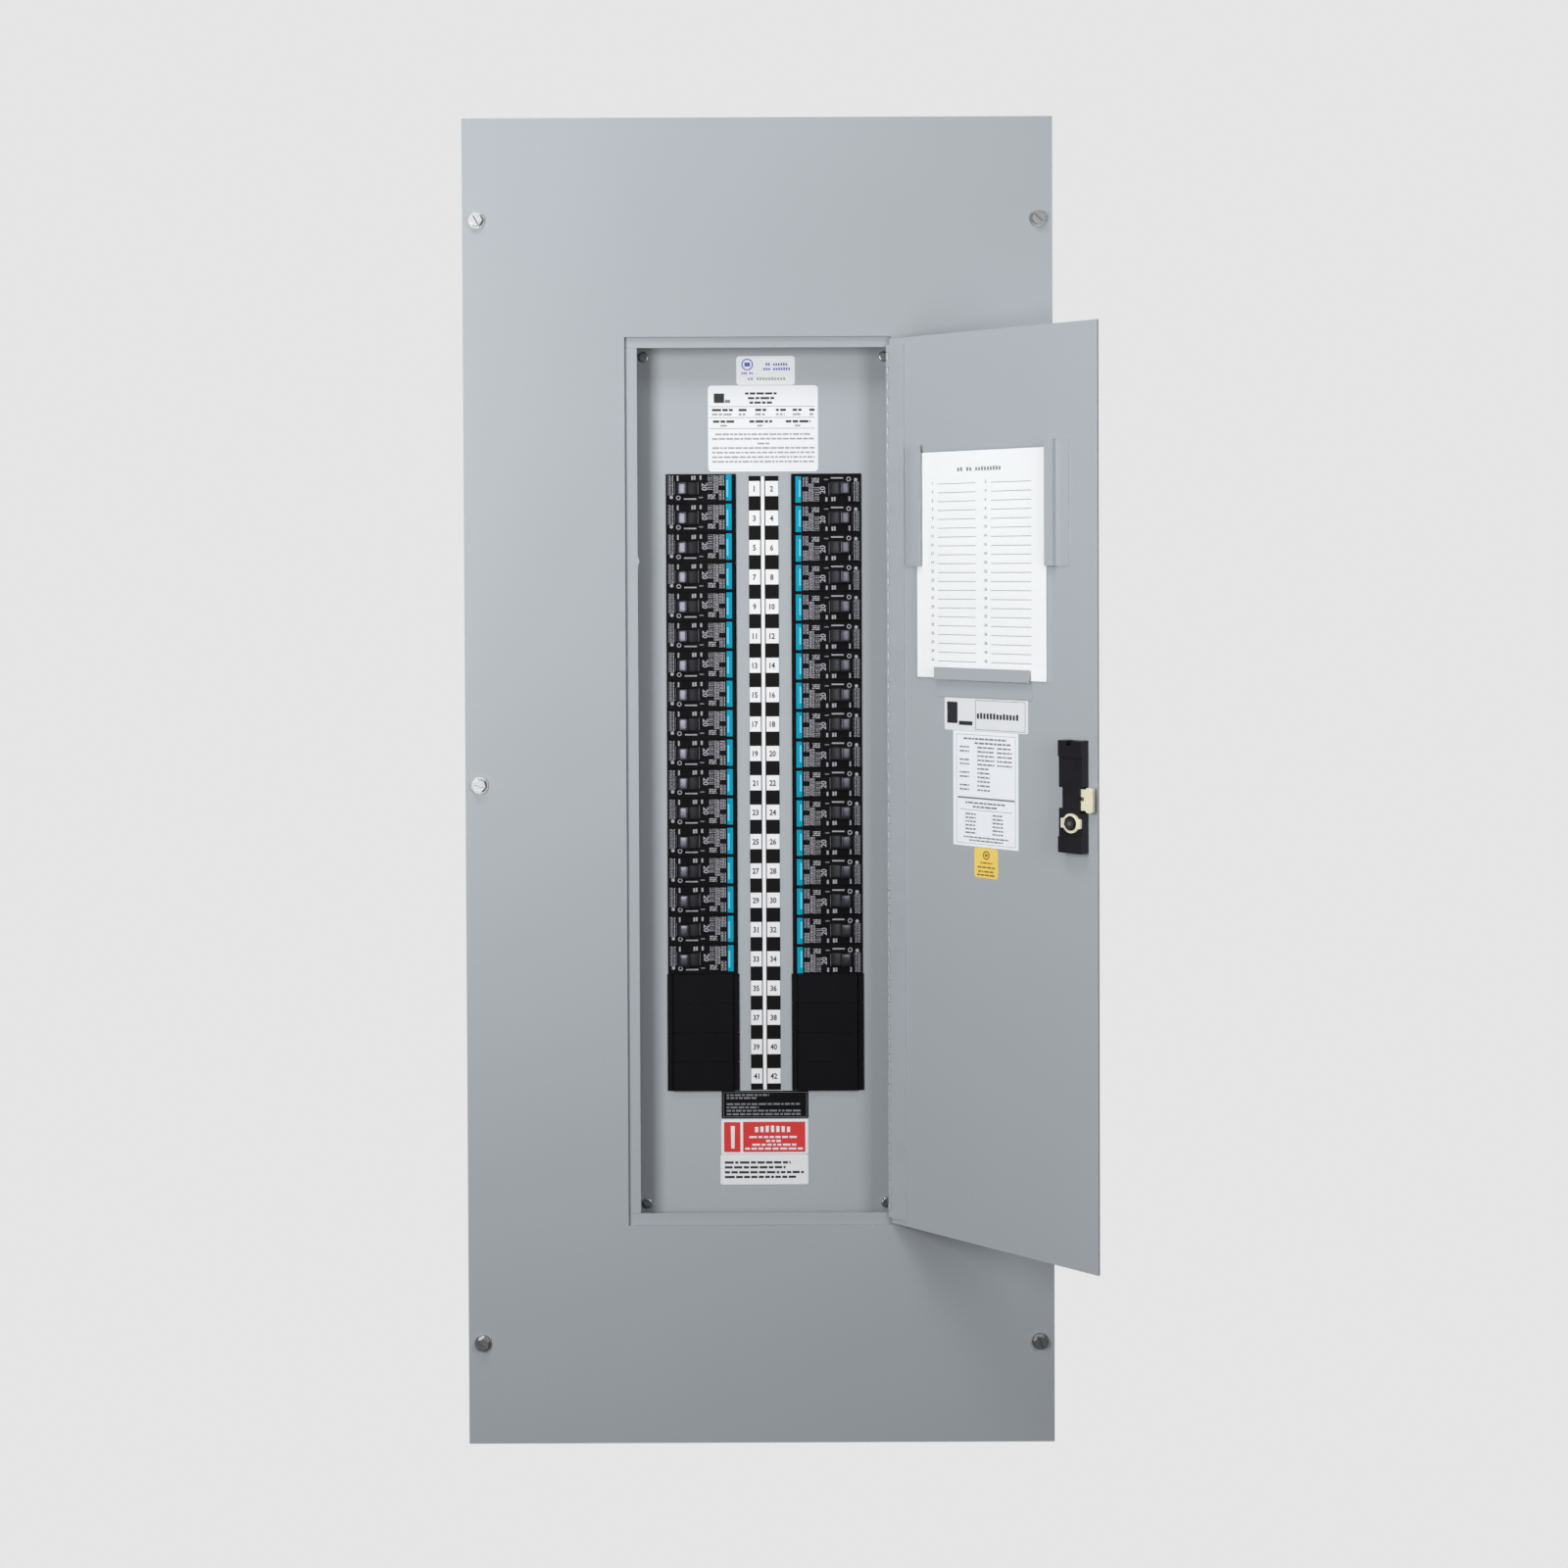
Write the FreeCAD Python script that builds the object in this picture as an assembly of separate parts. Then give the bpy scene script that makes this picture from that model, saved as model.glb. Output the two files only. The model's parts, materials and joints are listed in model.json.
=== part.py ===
import FreeCAD, Part
import os

# Electrical subpanel: a surface-mounted steel box whose front trim carries a hinged door over two
# banks of one-pole breakers. All sizes are in millimetres.
# X runs to the right, Z up and Y into the wall. The wall is the plane Y = 0, and the origin is the
# centre of the four wall-fixing holes in the back of the box. Depth values are therefore negative.

V = FreeCAD.Vector
X_AXIS = V(1, 0, 0)
Y_AXIS = V(0, 1, 0)
Z_AXIS = V(0, 0, 1)

# How far a cutting shape runs past the face that it cuts
OVERCUT = 1.0
# How near an edge lies to the place where it is looked for
NEAR = 0.01

# Box
BOX_W = 497.6
BOX_H = 1127.0
BOX_DEPTH = 146.1
BOX_SHEET = 1.5
FRONT_FLANGE = 25.0
SHEET_BEND = 2.5
WALL_HOLE_SPAN_X = 406.4
WALL_HOLE_SPAN_Z = 1016.0
WALL_HOLE_R = 4.0
END_TAB = 15.0
KNOCKOUT_XS = (-168.0, -84.0, 0.0, 84.0, 168.0)
KNOCKOUT_Y = -62.0
KNOCKOUT_RADII = (11.1, 17.3, 25.5)
KNOCKOUT_GROOVE = 0.7
KNOCKOUT_GROOVE_DEPTH = 0.6

# Trim
TRIM_W = 500.6
TRIM_H = 1130.0
TRIM_SHEET = 1.9
TRIM_REAR = -BOX_DEPTH
TRIM_FRONT = TRIM_REAR - TRIM_SHEET
OPENING_X0 = -113.3
OPENING_X1 = 113.3
OPENING_Z0 = -378.5
OPENING_Z1 = 379.5
TRIM_SCREW_X = 238.0
TRIM_SCREW_ZS = (478.5, -1.0, -478.5)
TRIM_HOLE_R = 3.3
TRIM_SHANK_R = 3.0
TRIM_SHANK = 14.0
HEX_WASHER_R = 7.2
HEX_WASHER_T = 1.1
HEX_FLATS = 9.5
HEX_HEIGHT = 4.6
HEX_SLOT_W = 1.3
HEX_SLOT_DEPTH = 1.9

# Door stop frame, behind three sides of the opening
STOP_SHEET = 1.5
STOP_FRONT = -144.8
STOP_REAR = STOP_FRONT + STOP_SHEET
STOP_LEFT = -102.9
STOP_TOP = 370.5
STOP_BOTTOM = -368.6
STOP_RIGHT_END = 130.0
STOP_RISER_OUT = 4.2
STOP_FLANGE = 16.0
STOP_NIB_Z = 189.0
STOP_NIB = (9.0, 1.8)
STOP_SEAM = 0.4
STOP_SEAM_DEPTH = 0.6

# Hinge: a continuous piano hinge on the right of the opening
HINGE_X = 110.8
HINGE_Y = -147.3
HINGE_Z0 = -371.6
HINGE_Z1 = 372.0
BARREL_R = 2.2
PIN_R = 1.1
PIN_BORE_R = 1.16
LEAF_SHEET = 1.0
LEAF_REACH = 19.75
KNUCKLE = 6.35
KNUCKLE_GAP = 0.3
NOTCH_REACH = 2.6

# Door. Its parts are laid out closed and then swung open about the hinge pin.
DOOR_REST_ANGLE = 134.5
DOOR_X0 = -111.5
DOOR_X1 = HINGE_X - NOTCH_REACH
DOOR_Z0 = -376.0
DOOR_Z1 = 377.0
DOOR_INNER = TRIM_REAR

# Directory holder on the door's inner face. T is the distance from the hinge pin, towards the free
# edge, and H the height off the inner face.
HOLDER_SHEET = 0.8
HOLDER_H = 5.0
HOLDER_Z0 = 184.0
HOLDER_Z1 = 285.0
HOLDER_TOP_STRIP = 5.0
HOLDER_LEFT_T = (20.2, 33.0, 41.0)
HOLDER_RIGHT_T = (173.0, 181.0, 194.6)
BRACKET_T = (56.0, 157.0)
BRACKET_Z = (76.0, 90.0, 100.0)
CARD_T = (34.5, 172.5)
CARD_Z = (91.2, 279.0)
CARD_H = (1.0, 1.4)
WINDOW_T = (34.5, 179.5)
WINDOW_Z = (91.2, 279.0)
WINDOW_H = (1.6, 2.0)

# Latch on the door
LATCH_T = (190.0, 213.2)
LATCH_Z = (-43.0, 46.0)
LATCH_H = 8.0
LATCH_END_H = 9.4
LATCH_END_LENGTH = 12.8
LATCH_END_SLOT = (6.5, 4.0)
LATCH_NOTCH_T = 193.5
LATCH_NOTCH_Z = (-7.9, 8.7)
LATCH_MOUTH_T = 210.8
NECK_T = (194.5, 212.5)
NECK_Z = (-40.0, 43.0)
NECK_CLEARANCE = 0.2
BEZEL_T = (188.5, 216.0)
BEZEL_Z = (-46.0, 49.0)
BEZEL_PROUD = 2.0
BOLT_T = (205.8, 222.0)
BOLT_Z = (-10.5, 9.4)
BOLT_H = (3.4, 6.6)
BOLT_TRAVEL = 9.5
SLIDE_GAP = 0.4
STEM_T = (206.4, 210.6)
STEM_Z = (-4.0, 4.0)
THUMB_T = (205.0, 211.6)
THUMB_Z = (-7.0, 7.0)
THUMB_PROUD = (0.4, 2.9)
LOCK_T = 203.3
LOCK_Z = -19.2
LOCK_R = 5.44
LOCK_BORE_R = 5.5
LOCK_PROUD = 2.9
CAM_R = 7.8
CAM_H = (8.3, 10.3)
CAM_EAR = (9.8, 4.0)
LOCK_NUT_FLATS = 8.6
LOCK_NUT_H = 12.2
KEYWAY = (1.4, 6.4, 1.6)

# Interior. Its centre line is a little to the right of the box's.
INTERIOR_X = 4.5
ROW_PITCH = 25.4
ROW_COUNT = 21
BREAKER_ROWS = 17
FIRST_ROW_Z = 251.5

# Deadfront cover
DEADFRONT_FRONT = -118.0
DEADFRONT_SHEET = 1.5
DEADFRONT_REAR = DEADFRONT_FRONT + DEADFRONT_SHEET
DEADFRONT_X = 5.0
DEADFRONT_Z = -1.0
DEADFRONT_HALF_W = 115.5
DEADFRONT_HALF_H = 378.0
DEADFRONT_EDGE = 12.0
DEADFRONT_SCREW_X = 103.4
DEADFRONT_SCREW_Z = 365.7
DEADFRONT_HOLE_R = 2.5
DEADFRONT_SHANK_R = 2.0
DEADFRONT_SHANK = 10.0
DEADFRONT_HEAD_R = 4.5
DEADFRONT_HEAD_T = 2.4
DEADFRONT_HEAD_ROUND = 1.44
DEADFRONT_SLOT = (0.9, 1.1)
WINDOW_U = (23.8, 84.2)

# Interior pan, and the risers at its ends that carry the deadfront
PAN_FRONT = -30.0
PAN_SHEET = 1.6
PAN_HALF_W = 112.0
PAN_RISER_HALF_W = 109.0
PAN_HALF_H = 373.6
PAN_LIP = 16.0
PAN_FOOT = 16.0

# Breaker. U is the distance from the interior's centre line, outward.
CASE_LENGTH_Z = 25.0
CASE_INNER_U = 14.0
CASE_OUTER_U = 94.0
CASE_BACK = -64.0
CASE_SHOULDER = -112.0
FACE_U = (24.4, 83.6)
FACE_FRONT = -120.5
FACE_CHAMFER = 0.5
LOAD_POCKET_DEPTH = 6.0
LOAD_POCKET_Y = (-90.0, -76.0)
LINE_TAB = (3.0, 2.5, 12.0)
ROTOR_U = 66.2
ROTOR_R = 12.0
ROTOR_Y = -112.45
ROTOR_HALF_Z = 5.5
ROTOR_GAP = 0.3
TRUNNION_R = 2.0
TRUNNION_BORE_R = 2.06
TRUNNION_HALF_Z = 8.2
HANDLE_TIP_R = 16.4
HANDLE_W = 8.0
HANDLE_ANGLE = 14.0
HANDLE_ROUND = 1.6

# Filler plate over an unused breaker position
FILLER_LENGTH_Z = 25.0
FILLER_U = (22.7, 84.9)
FILLER_EDGE_T = 1.2
FILLER_RISE = 3.2
FILLER_SLOPE_U = (26.5, 28.5, 79.0, 81.0)
FILLER_LEG_T = 1.4
FILLER_LEG_HALF_Z = 8.0
FILLER_LEG_END = -112.5
FILLER_HOOK = 0.9
FILLER_HOOK_GAP = 0.3

# Bus
BUS_XS = (-40.0, 0.0, 40.0)
BUS_W = 25.0
BUS_T = 6.0
BUS_FRONT = -52.0
BUS_Z0 = -285.0
BUS_Z1 = 320.0
INSULATOR_ZS = (292.0, -2.5, -276.0)
INSULATOR_HALF_W = 62.0
INSULATOR_H = 26.0
INSULATOR_RIB_XS = (-20.0, 20.0)
INSULATOR_RIB_W = 4.0
INSULATOR_RIB_H = 8.0
STRAP_T = 3.0
STRAP_ARM_FRONT = -60.0
STRAP_HALF_Z = 5.0
STRAP_PAD_HALF_X = 8.0
STRAP_RISER_HALF_X = 3.0
STRAP_CROSS_HALF_X = 13.5
STRAP_CROSS_FRONT = -86.5
STRAP_CROSS_T = 2.5
LUG_HALF_X = 11.0
LUG_DEPTH = 24.0
LUG_Z0 = 284.0
LUG_BORE_R = 6.5
LUG_SCREW_R = 4.6
LUG_SCREW_PROUD = 2.0
LUG_SOCKET_FLATS = 4.8

# Terminal bars
NEUTRAL_HALF_X = 75.0
NEUTRAL_Z = -312.0
NEUTRAL_FRONT = -62.0
NEUTRAL_POST_XS = (-62.0, 62.0)
GROUND_X = 205.0
GROUND_Z0 = -260.0
GROUND_Z1 = -60.0
GROUND_FRONT = -17.0
GROUND_FOOT_R = 5.0
TERMINAL_BAR_T = 11.0
TERMINAL_PITCH = 10.0
TERMINAL_SCREW_R = 3.4
TERMINAL_SCREW_PROUD = 2.2
TERMINAL_WIRE_R = 2.6
TERMINAL_SLOT = (1.0, 1.3)
POST_R = 6.0


def box(x0, x1, y0, y1, z0, z1):
    """A box between two corners, given in either order."""
    low = V(min(x0, x1), min(y0, y1), min(z0, z1))
    return Part.makeBox(abs(x1 - x0), abs(y1 - y0), abs(z1 - z0), low)


def rod_y(x, z, radius, y0, y1):
    """A round rod along the depth, from y0 to y1."""
    return Part.makeCylinder(radius, abs(y1 - y0), V(x, min(y0, y1), z), Y_AXIS)


def rod_z(x, y, radius, z0, z1):
    """An upright round rod, from z0 to z1."""
    return Part.makeCylinder(radius, z1 - z0, V(x, y, z0), Z_AXIS)


def prism_z(points, z0, z1):
    """The outline given as (x, y) points, drawn out upward from z0 to z1."""
    corners = [V(x, y, z0) for x, y in points]
    return Part.Face(Part.makePolygon(corners + corners[:1])).extrude(V(0, 0, z1 - z0))


def hex_y(x, z, flats, y0, y1):
    """A hexagonal bar along the depth, measured across its flats."""
    corner = V(flats / 3 ** 0.5, 0, 0)
    turns = [FreeCAD.Rotation(Y_AXIS, 60.0 * step) for step in range(6)]
    points = [V(x, y0, z) + turn.multVec(corner) for turn in turns]
    return Part.Face(Part.makePolygon(points + points[:1])).extrude(V(0, y1 - y0, 0))


def joined(shapes):
    """All the shapes as one body, with the seams between coplanar faces removed."""
    return shapes[0].multiFuse(shapes[1:]).removeSplitter()


def round_uprights(shape, corners, radius):
    """Rounds the upright edges that stand at the given (x, y) corners."""
    found = []
    for edge in shape.Edges:
        middle = edge.CenterOfMass
        upright = abs(edge.tangentAt(edge.FirstParameter).z) > 1 - NEAR
        if upright and any(abs(middle.x - x) < NEAR and abs(middle.y - y) < NEAR for x, y in corners):
            found.append(edge)
    return shape.makeFillet(radius, found)


def swung_open(shape):
    """Turns a part of the closed door about the hinge pin to the position it rests in."""
    opened = shape.copy()
    opened.rotate(V(HINGE_X, HINGE_Y, 0), Z_AXIS, DOOR_REST_ANGLE)
    return opened


def on_door(t0, t1, h0, h1, z0, z1):
    """A box on the closed door: t from the hinge pin, h off the inner face."""
    return box(HINGE_X - t0, HINGE_X - t1, DOOR_INNER + h0, DOOR_INNER + h1, z0, z1)


def row_z(row):
    return FIRST_ROW_Z - ROW_PITCH * row


def trim_screw_places():
    return [(side * TRIM_SCREW_X, z) for side in (-1, 1) for z in TRIM_SCREW_ZS]


def enclosure_tub():
    """Back and both sides, bent from one sheet, with front flanges for the trim."""
    half = BOX_W / 2
    inner = half - BOX_SHEET
    lip = half - FRONT_FLANGE
    lip_rear = -BOX_DEPTH + BOX_SHEET
    outline = [(-half, 0), (-half, -BOX_DEPTH), (-lip, -BOX_DEPTH), (-lip, lip_rear)]
    outline += [(-inner, lip_rear), (-inner, -BOX_SHEET), (inner, -BOX_SHEET), (inner, lip_rear)]
    outline += [(lip, lip_rear), (lip, -BOX_DEPTH), (half, -BOX_DEPTH), (half, 0)]
    tub = prism_z(outline, -BOX_H / 2, BOX_H / 2)
    bends = [(side * half, y) for side in (-1, 1) for y in (0, -BOX_DEPTH)]
    tub = round_uprights(tub, bends, SHEET_BEND)
    flange_y = (-BOX_DEPTH - OVERCUT, lip_rear + OVERCUT)
    holes = [rod_y(x, z, TRIM_HOLE_R, flange_y[0], flange_y[1]) for x, z in trim_screw_places()]
    for x in (-WALL_HOLE_SPAN_X / 2, WALL_HOLE_SPAN_X / 2):
        for z in (-WALL_HOLE_SPAN_Z / 2, WALL_HOLE_SPAN_Z / 2):
            holes.append(rod_y(x, z, WALL_HOLE_R, -BOX_SHEET - OVERCUT, OVERCUT))
    return tub.cut(holes)


def knockout_grooves(z_outer):
    """Ring grooves of the concentric knockouts, in the outer face of the top wall."""
    rings = []
    for x in KNOCKOUT_XS:
        for radius in KNOCKOUT_RADII:
            outer = Part.makeCylinder(radius, 2 * KNOCKOUT_GROOVE_DEPTH)
            core = Part.makeCylinder(radius - KNOCKOUT_GROOVE, 2 * KNOCKOUT_GROOVE_DEPTH)
            ring = outer.cut(core)
            ring.translate(V(x, KNOCKOUT_Y, z_outer - KNOCKOUT_GROOVE_DEPTH))
            rings.append(ring)
    return rings


def end_wall():
    """The top wall, with a front flange and tabs that lie on the tub's sides and back."""
    top = BOX_H / 2
    inside = top - BOX_SHEET
    half = BOX_W / 2 - BOX_SHEET
    flange_half = BOX_W / 2 - FRONT_FLANGE
    front = -BOX_DEPTH + BOX_SHEET
    back = -BOX_SHEET
    tab_front = front + END_TAB
    tab_back = back - END_TAB
    pieces = [box(-half, half, front, back, inside, top)]
    pieces.append(box(-flange_half, flange_half, -BOX_DEPTH, front, top - FRONT_FLANGE, top))
    pieces.append(box(-flange_half, flange_half, back - BOX_SHEET, back, top - END_TAB, inside))
    for side in (-1, 1):
        x_out = side * half
        x_in = side * (half - BOX_SHEET)
        pieces.append(box(x_in, x_out, tab_front, tab_back, top - END_TAB, inside))
    return joined(pieces).cut(knockout_grooves(top))


def end_walls():
    upper = end_wall()
    lower = upper.mirror(V(0, 0, 0), Z_AXIS)
    return Part.makeCompound([upper, lower])


def trim():
    """Flat front sheet with the door opening."""
    sheet = box(-TRIM_W / 2, TRIM_W / 2, TRIM_FRONT, TRIM_REAR, -TRIM_H / 2, TRIM_H / 2)
    cut_y = (TRIM_FRONT - OVERCUT, TRIM_REAR + OVERCUT)
    opening = box(OPENING_X0, OPENING_X1, cut_y[0], cut_y[1], OPENING_Z0, OPENING_Z1)
    holes = [rod_y(x, z, TRIM_HOLE_R, cut_y[0], cut_y[1]) for x, z in trim_screw_places()]
    return sheet.cut([opening] + holes)


def hex_washer_screw(x, z, angle):
    """Slotted hex head on its own washer, with the shank through trim and flange."""
    washer_front = TRIM_FRONT - HEX_WASHER_T
    head_front = washer_front - HEX_HEIGHT
    washer = rod_y(x, z, HEX_WASHER_R, washer_front, TRIM_FRONT)
    head = hex_y(x, z, HEX_FLATS, head_front, washer_front)
    shank = rod_y(x, z, TRIM_SHANK_R, TRIM_FRONT, TRIM_FRONT + TRIM_SHANK)
    slot_floor = head_front + HEX_SLOT_DEPTH
    half_slot = HEX_SLOT_W / 2
    slot_front = head_front - OVERCUT
    slot = box(x - HEX_FLATS, x + HEX_FLATS, slot_front, slot_floor, z - half_slot, z + half_slot)
    screw = joined([washer, head, shank]).cut(slot)
    screw.rotate(V(x, 0, z), Y_AXIS, angle)
    return screw


def trim_screws():
    """Six screws. Each one stopped at its own angle when it was driven home."""
    angles = (62.0, 14.0, 38.0, 41.0, 80.0, 67.0)
    places = trim_screw_places()
    return Part.makeCompound([hex_washer_screw(x, z, angle) for (x, z), angle in zip(places, angles)])


def door_stop_frame():
    """Joggled strips behind the opening's top, left and bottom edges, welded into one frame."""
    left_riser = OPENING_X0 - STOP_RISER_OUT
    left_end = left_riser + STOP_SHEET - STOP_FLANGE
    flange_rear = TRIM_REAR + STOP_SHEET
    pieces = []
    for edge, ledge, side in ((OPENING_Z1, STOP_TOP, 1), (OPENING_Z0, STOP_BOTTOM, -1)):
        riser = edge + side * STOP_RISER_OUT
        inner = riser - side * STOP_SHEET
        outer = inner + side * STOP_FLANGE
        pieces.append(box(left_riser, STOP_RIGHT_END, STOP_FRONT, STOP_REAR, ledge, riser))
        pieces.append(box(left_end, STOP_RIGHT_END, TRIM_REAR, STOP_REAR, inner, riser))
        pieces.append(box(left_end, STOP_RIGHT_END, TRIM_REAR, flange_rear, inner, outer))
    pieces.append(box(left_riser, STOP_LEFT, STOP_FRONT, STOP_REAR, STOP_BOTTOM, STOP_TOP))
    pieces.append(box(left_riser, left_riser + STOP_SHEET, TRIM_REAR, STOP_REAR, STOP_BOTTOM, STOP_TOP))
    pieces.append(box(left_end, left_riser + STOP_SHEET, TRIM_REAR, flange_rear, OPENING_Z0, OPENING_Z1))
    nib_high, nib_low = STOP_NIB_Z + STOP_NIB[0] / 2, STOP_NIB_Z - STOP_NIB[0] / 2
    root, tip = STOP_LEFT - STOP_SHEET, STOP_LEFT + STOP_NIB[1]
    outline = [(root, nib_high), (STOP_LEFT, nib_high), (tip, STOP_NIB_Z)]
    outline += [(STOP_LEFT, nib_low), (root, nib_low)]
    nib = [V(x, STOP_FRONT, z) for x, z in outline]
    pieces.append(Part.Face(Part.makePolygon(nib + nib[:1])).extrude(V(0, STOP_SHEET, 0)))
    seams = []
    for z in (STOP_TOP, STOP_BOTTOM):
        low, high = z - STOP_SEAM / 2, z + STOP_SEAM / 2
        seams.append(box(left_riser, STOP_LEFT, STOP_FRONT, STOP_FRONT + STOP_SEAM_DEPTH, low, high))
    return joined(pieces).cut(seams)


def hinge_leaf(side, parity):
    """One leaf with its knuckles. Side is 1 towards the trim and -1 towards the door."""
    plate_front = TRIM_REAR
    plate_rear = TRIM_REAR + LEAF_SHEET
    plate = box(HINGE_X, HINGE_X + side * LEAF_REACH, plate_front, plate_rear, HINGE_Z0, HINGE_Z1)
    barrel = rod_z(HINGE_X, HINGE_Y, BARREL_R, HINGE_Z0, HINGE_Z1)
    leaf = joined([plate, barrel])
    leaf = leaf.cut(rod_z(HINGE_X, HINGE_Y, PIN_BORE_R, HINGE_Z0 - OVERCUT, HINGE_Z1 + OVERCUT))
    count = int(round((HINGE_Z1 - HINGE_Z0) / KNUCKLE))
    step = (HINGE_Z1 - HINGE_Z0) / count
    far_x = HINGE_X - side * (BARREL_R + OVERCUT)
    near_x = HINGE_X + side * NOTCH_REACH
    front = HINGE_Y - BARREL_R - OVERCUT
    notches = []
    for index in range(parity, count, 2):
        low = HINGE_Z0 + step * index - KNUCKLE_GAP / 2
        high = low + step + KNUCKLE_GAP
        notches.append(box(far_x, near_x, front, plate_rear + OVERCUT, low, high))
    return leaf.cut(notches)


def hinge_pin():
    return rod_z(HINGE_X, HINGE_Y, PIN_R, HINGE_Z0, HINGE_Z1)


def door_panel():
    """Flat door sheet with a cut-out for the latch."""
    sheet = box(DOOR_X0, DOOR_X1, TRIM_FRONT, DOOR_INNER, DOOR_Z0, DOOR_Z1)
    cutout = on_door(NECK_T[0], NECK_T[1], -TRIM_SHEET - OVERCUT, OVERCUT, NECK_Z[0], NECK_Z[1])
    return swung_open(sheet.cut(cutout))


def holder_leg(t_flange, t_riser, t_lip):
    """One upright leg of the holder: a flange on the door, a riser and a lip over the card."""
    towards = 1 if t_riser > t_flange else -1
    riser = t_riser - towards * HOLDER_SHEET
    leg = [on_door(t_flange, t_riser, 0, HOLDER_SHEET, HOLDER_Z0, HOLDER_Z1)]
    leg.append(on_door(riser, t_riser, 0, HOLDER_H, HOLDER_Z0, HOLDER_Z1))
    leg.append(on_door(riser, t_lip, HOLDER_H - HOLDER_SHEET, HOLDER_H, HOLDER_Z0, HOLDER_Z1))
    return leg


def directory_holder():
    """Three-sided frame for the card, and the bracket that carries the card's lower edge."""
    pieces = holder_leg(HOLDER_LEFT_T[0], HOLDER_LEFT_T[1], HOLDER_LEFT_T[2])
    pieces += holder_leg(HOLDER_RIGHT_T[2], HOLDER_RIGHT_T[1], HOLDER_RIGHT_T[0])
    strip_z = HOLDER_Z1 - HOLDER_TOP_STRIP
    pieces.append(on_door(HOLDER_LEFT_T[1], HOLDER_RIGHT_T[1], 0, HOLDER_SHEET, strip_z, HOLDER_Z1))
    frame = joined(pieces)
    flange_z, riser_z, lip_z = BRACKET_Z
    bracket = [on_door(BRACKET_T[0], BRACKET_T[1], 0, HOLDER_SHEET, flange_z, riser_z)]
    bracket.append(on_door(BRACKET_T[0], BRACKET_T[1], 0, HOLDER_H, riser_z, riser_z + HOLDER_SHEET))
    bracket.append(on_door(BRACKET_T[0], BRACKET_T[1], HOLDER_H - HOLDER_SHEET, HOLDER_H, riser_z, lip_z))
    return swung_open(Part.makeCompound([frame, joined(bracket)]))


def directory_card():
    return swung_open(on_door(CARD_T[0], CARD_T[1], CARD_H[0], CARD_H[1], CARD_Z[0], CARD_Z[1]))


def card_window():
    return swung_open(on_door(WINDOW_T[0], WINDOW_T[1], WINDOW_H[0], WINDOW_H[1], WINDOW_Z[0], WINDOW_Z[1]))


def latch_housing():
    """Moulded body that snaps into the door, with a bezel outside and the bolt's channel inside."""
    front = -TRIM_SHEET
    pieces = [on_door(LATCH_T[0], LATCH_T[1], 0, LATCH_H, LATCH_Z[0], LATCH_Z[1])]
    neck = [value + NECK_CLEARANCE for value in (NECK_T[0], NECK_Z[0])]
    neck += [value - NECK_CLEARANCE for value in (NECK_T[1], NECK_Z[1])]
    pieces.append(on_door(neck[0], neck[2], front, 0, neck[1], neck[3]))
    pieces.append(on_door(BEZEL_T[0], BEZEL_T[1], front - BEZEL_PROUD, front, BEZEL_Z[0], BEZEL_Z[1]))
    for z_end, side in ((LATCH_Z[0], 1), (LATCH_Z[1], -1)):
        end_z = z_end + side * LATCH_END_LENGTH
        pieces.append(on_door(LATCH_T[0], LATCH_T[1], 0, LATCH_END_H, z_end, end_z))
    housing = joined(pieces)
    channel_h = (BOLT_H[0] - SLIDE_GAP, BOLT_H[1] + SLIDE_GAP)
    channel_z = (BOLT_Z[0] - SLIDE_GAP, BOLT_Z[1] + SLIDE_GAP)
    channel_t = BOLT_T[0] - BOLT_TRAVEL - SLIDE_GAP
    slot_t = (STEM_T[0] - BOLT_TRAVEL - SLIDE_GAP, STEM_T[1] + SLIDE_GAP)
    slot_z = (STEM_Z[0] - SLIDE_GAP, STEM_Z[1] + SLIDE_GAP)
    recess_t = (THUMB_T[0] - BOLT_TRAVEL - SLIDE_GAP, THUMB_T[1] + SLIDE_GAP)
    recess_z = (THUMB_Z[0] - SLIDE_GAP, THUMB_Z[1] + SLIDE_GAP)
    outside = front - BEZEL_PROUD - OVERCUT
    inside = LATCH_H + OVERCUT
    mouth = LATCH_T[1] + OVERCUT
    edge = LATCH_T[0] - OVERCUT
    cuts = [on_door(channel_t, mouth, channel_h[0], channel_h[1], channel_z[0], channel_z[1])]
    cuts.append(on_door(slot_t[0], slot_t[1], outside, channel_h[1], slot_z[0], slot_z[1]))
    cuts.append(on_door(recess_t[0], recess_t[1], outside, front, recess_z[0], recess_z[1]))
    cuts.append(on_door(LATCH_MOUTH_T, mouth, channel_h[0], inside, channel_z[0], channel_z[1]))
    cuts.append(on_door(edge, LATCH_NOTCH_T, 0, inside, LATCH_NOTCH_Z[0], LATCH_NOTCH_Z[1]))
    slot_length, slot_depth = LATCH_END_SLOT
    slot_middle = (LATCH_T[0] + LATCH_T[1]) / 2
    end_slot_t = (slot_middle - slot_length / 2, slot_middle + slot_length / 2)
    end_slot_z = (LATCH_Z[1] - slot_depth, LATCH_Z[1] + OVERCUT)
    cuts.append(on_door(end_slot_t[0], end_slot_t[1], LATCH_H - 4, LATCH_END_H + OVERCUT, *end_slot_z))
    cuts.append(rod_y(HINGE_X - LOCK_T, LOCK_Z, LOCK_BORE_R, DOOR_INNER + outside, DOOR_INNER + inside))
    return swung_open(housing.cut(cuts))


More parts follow.
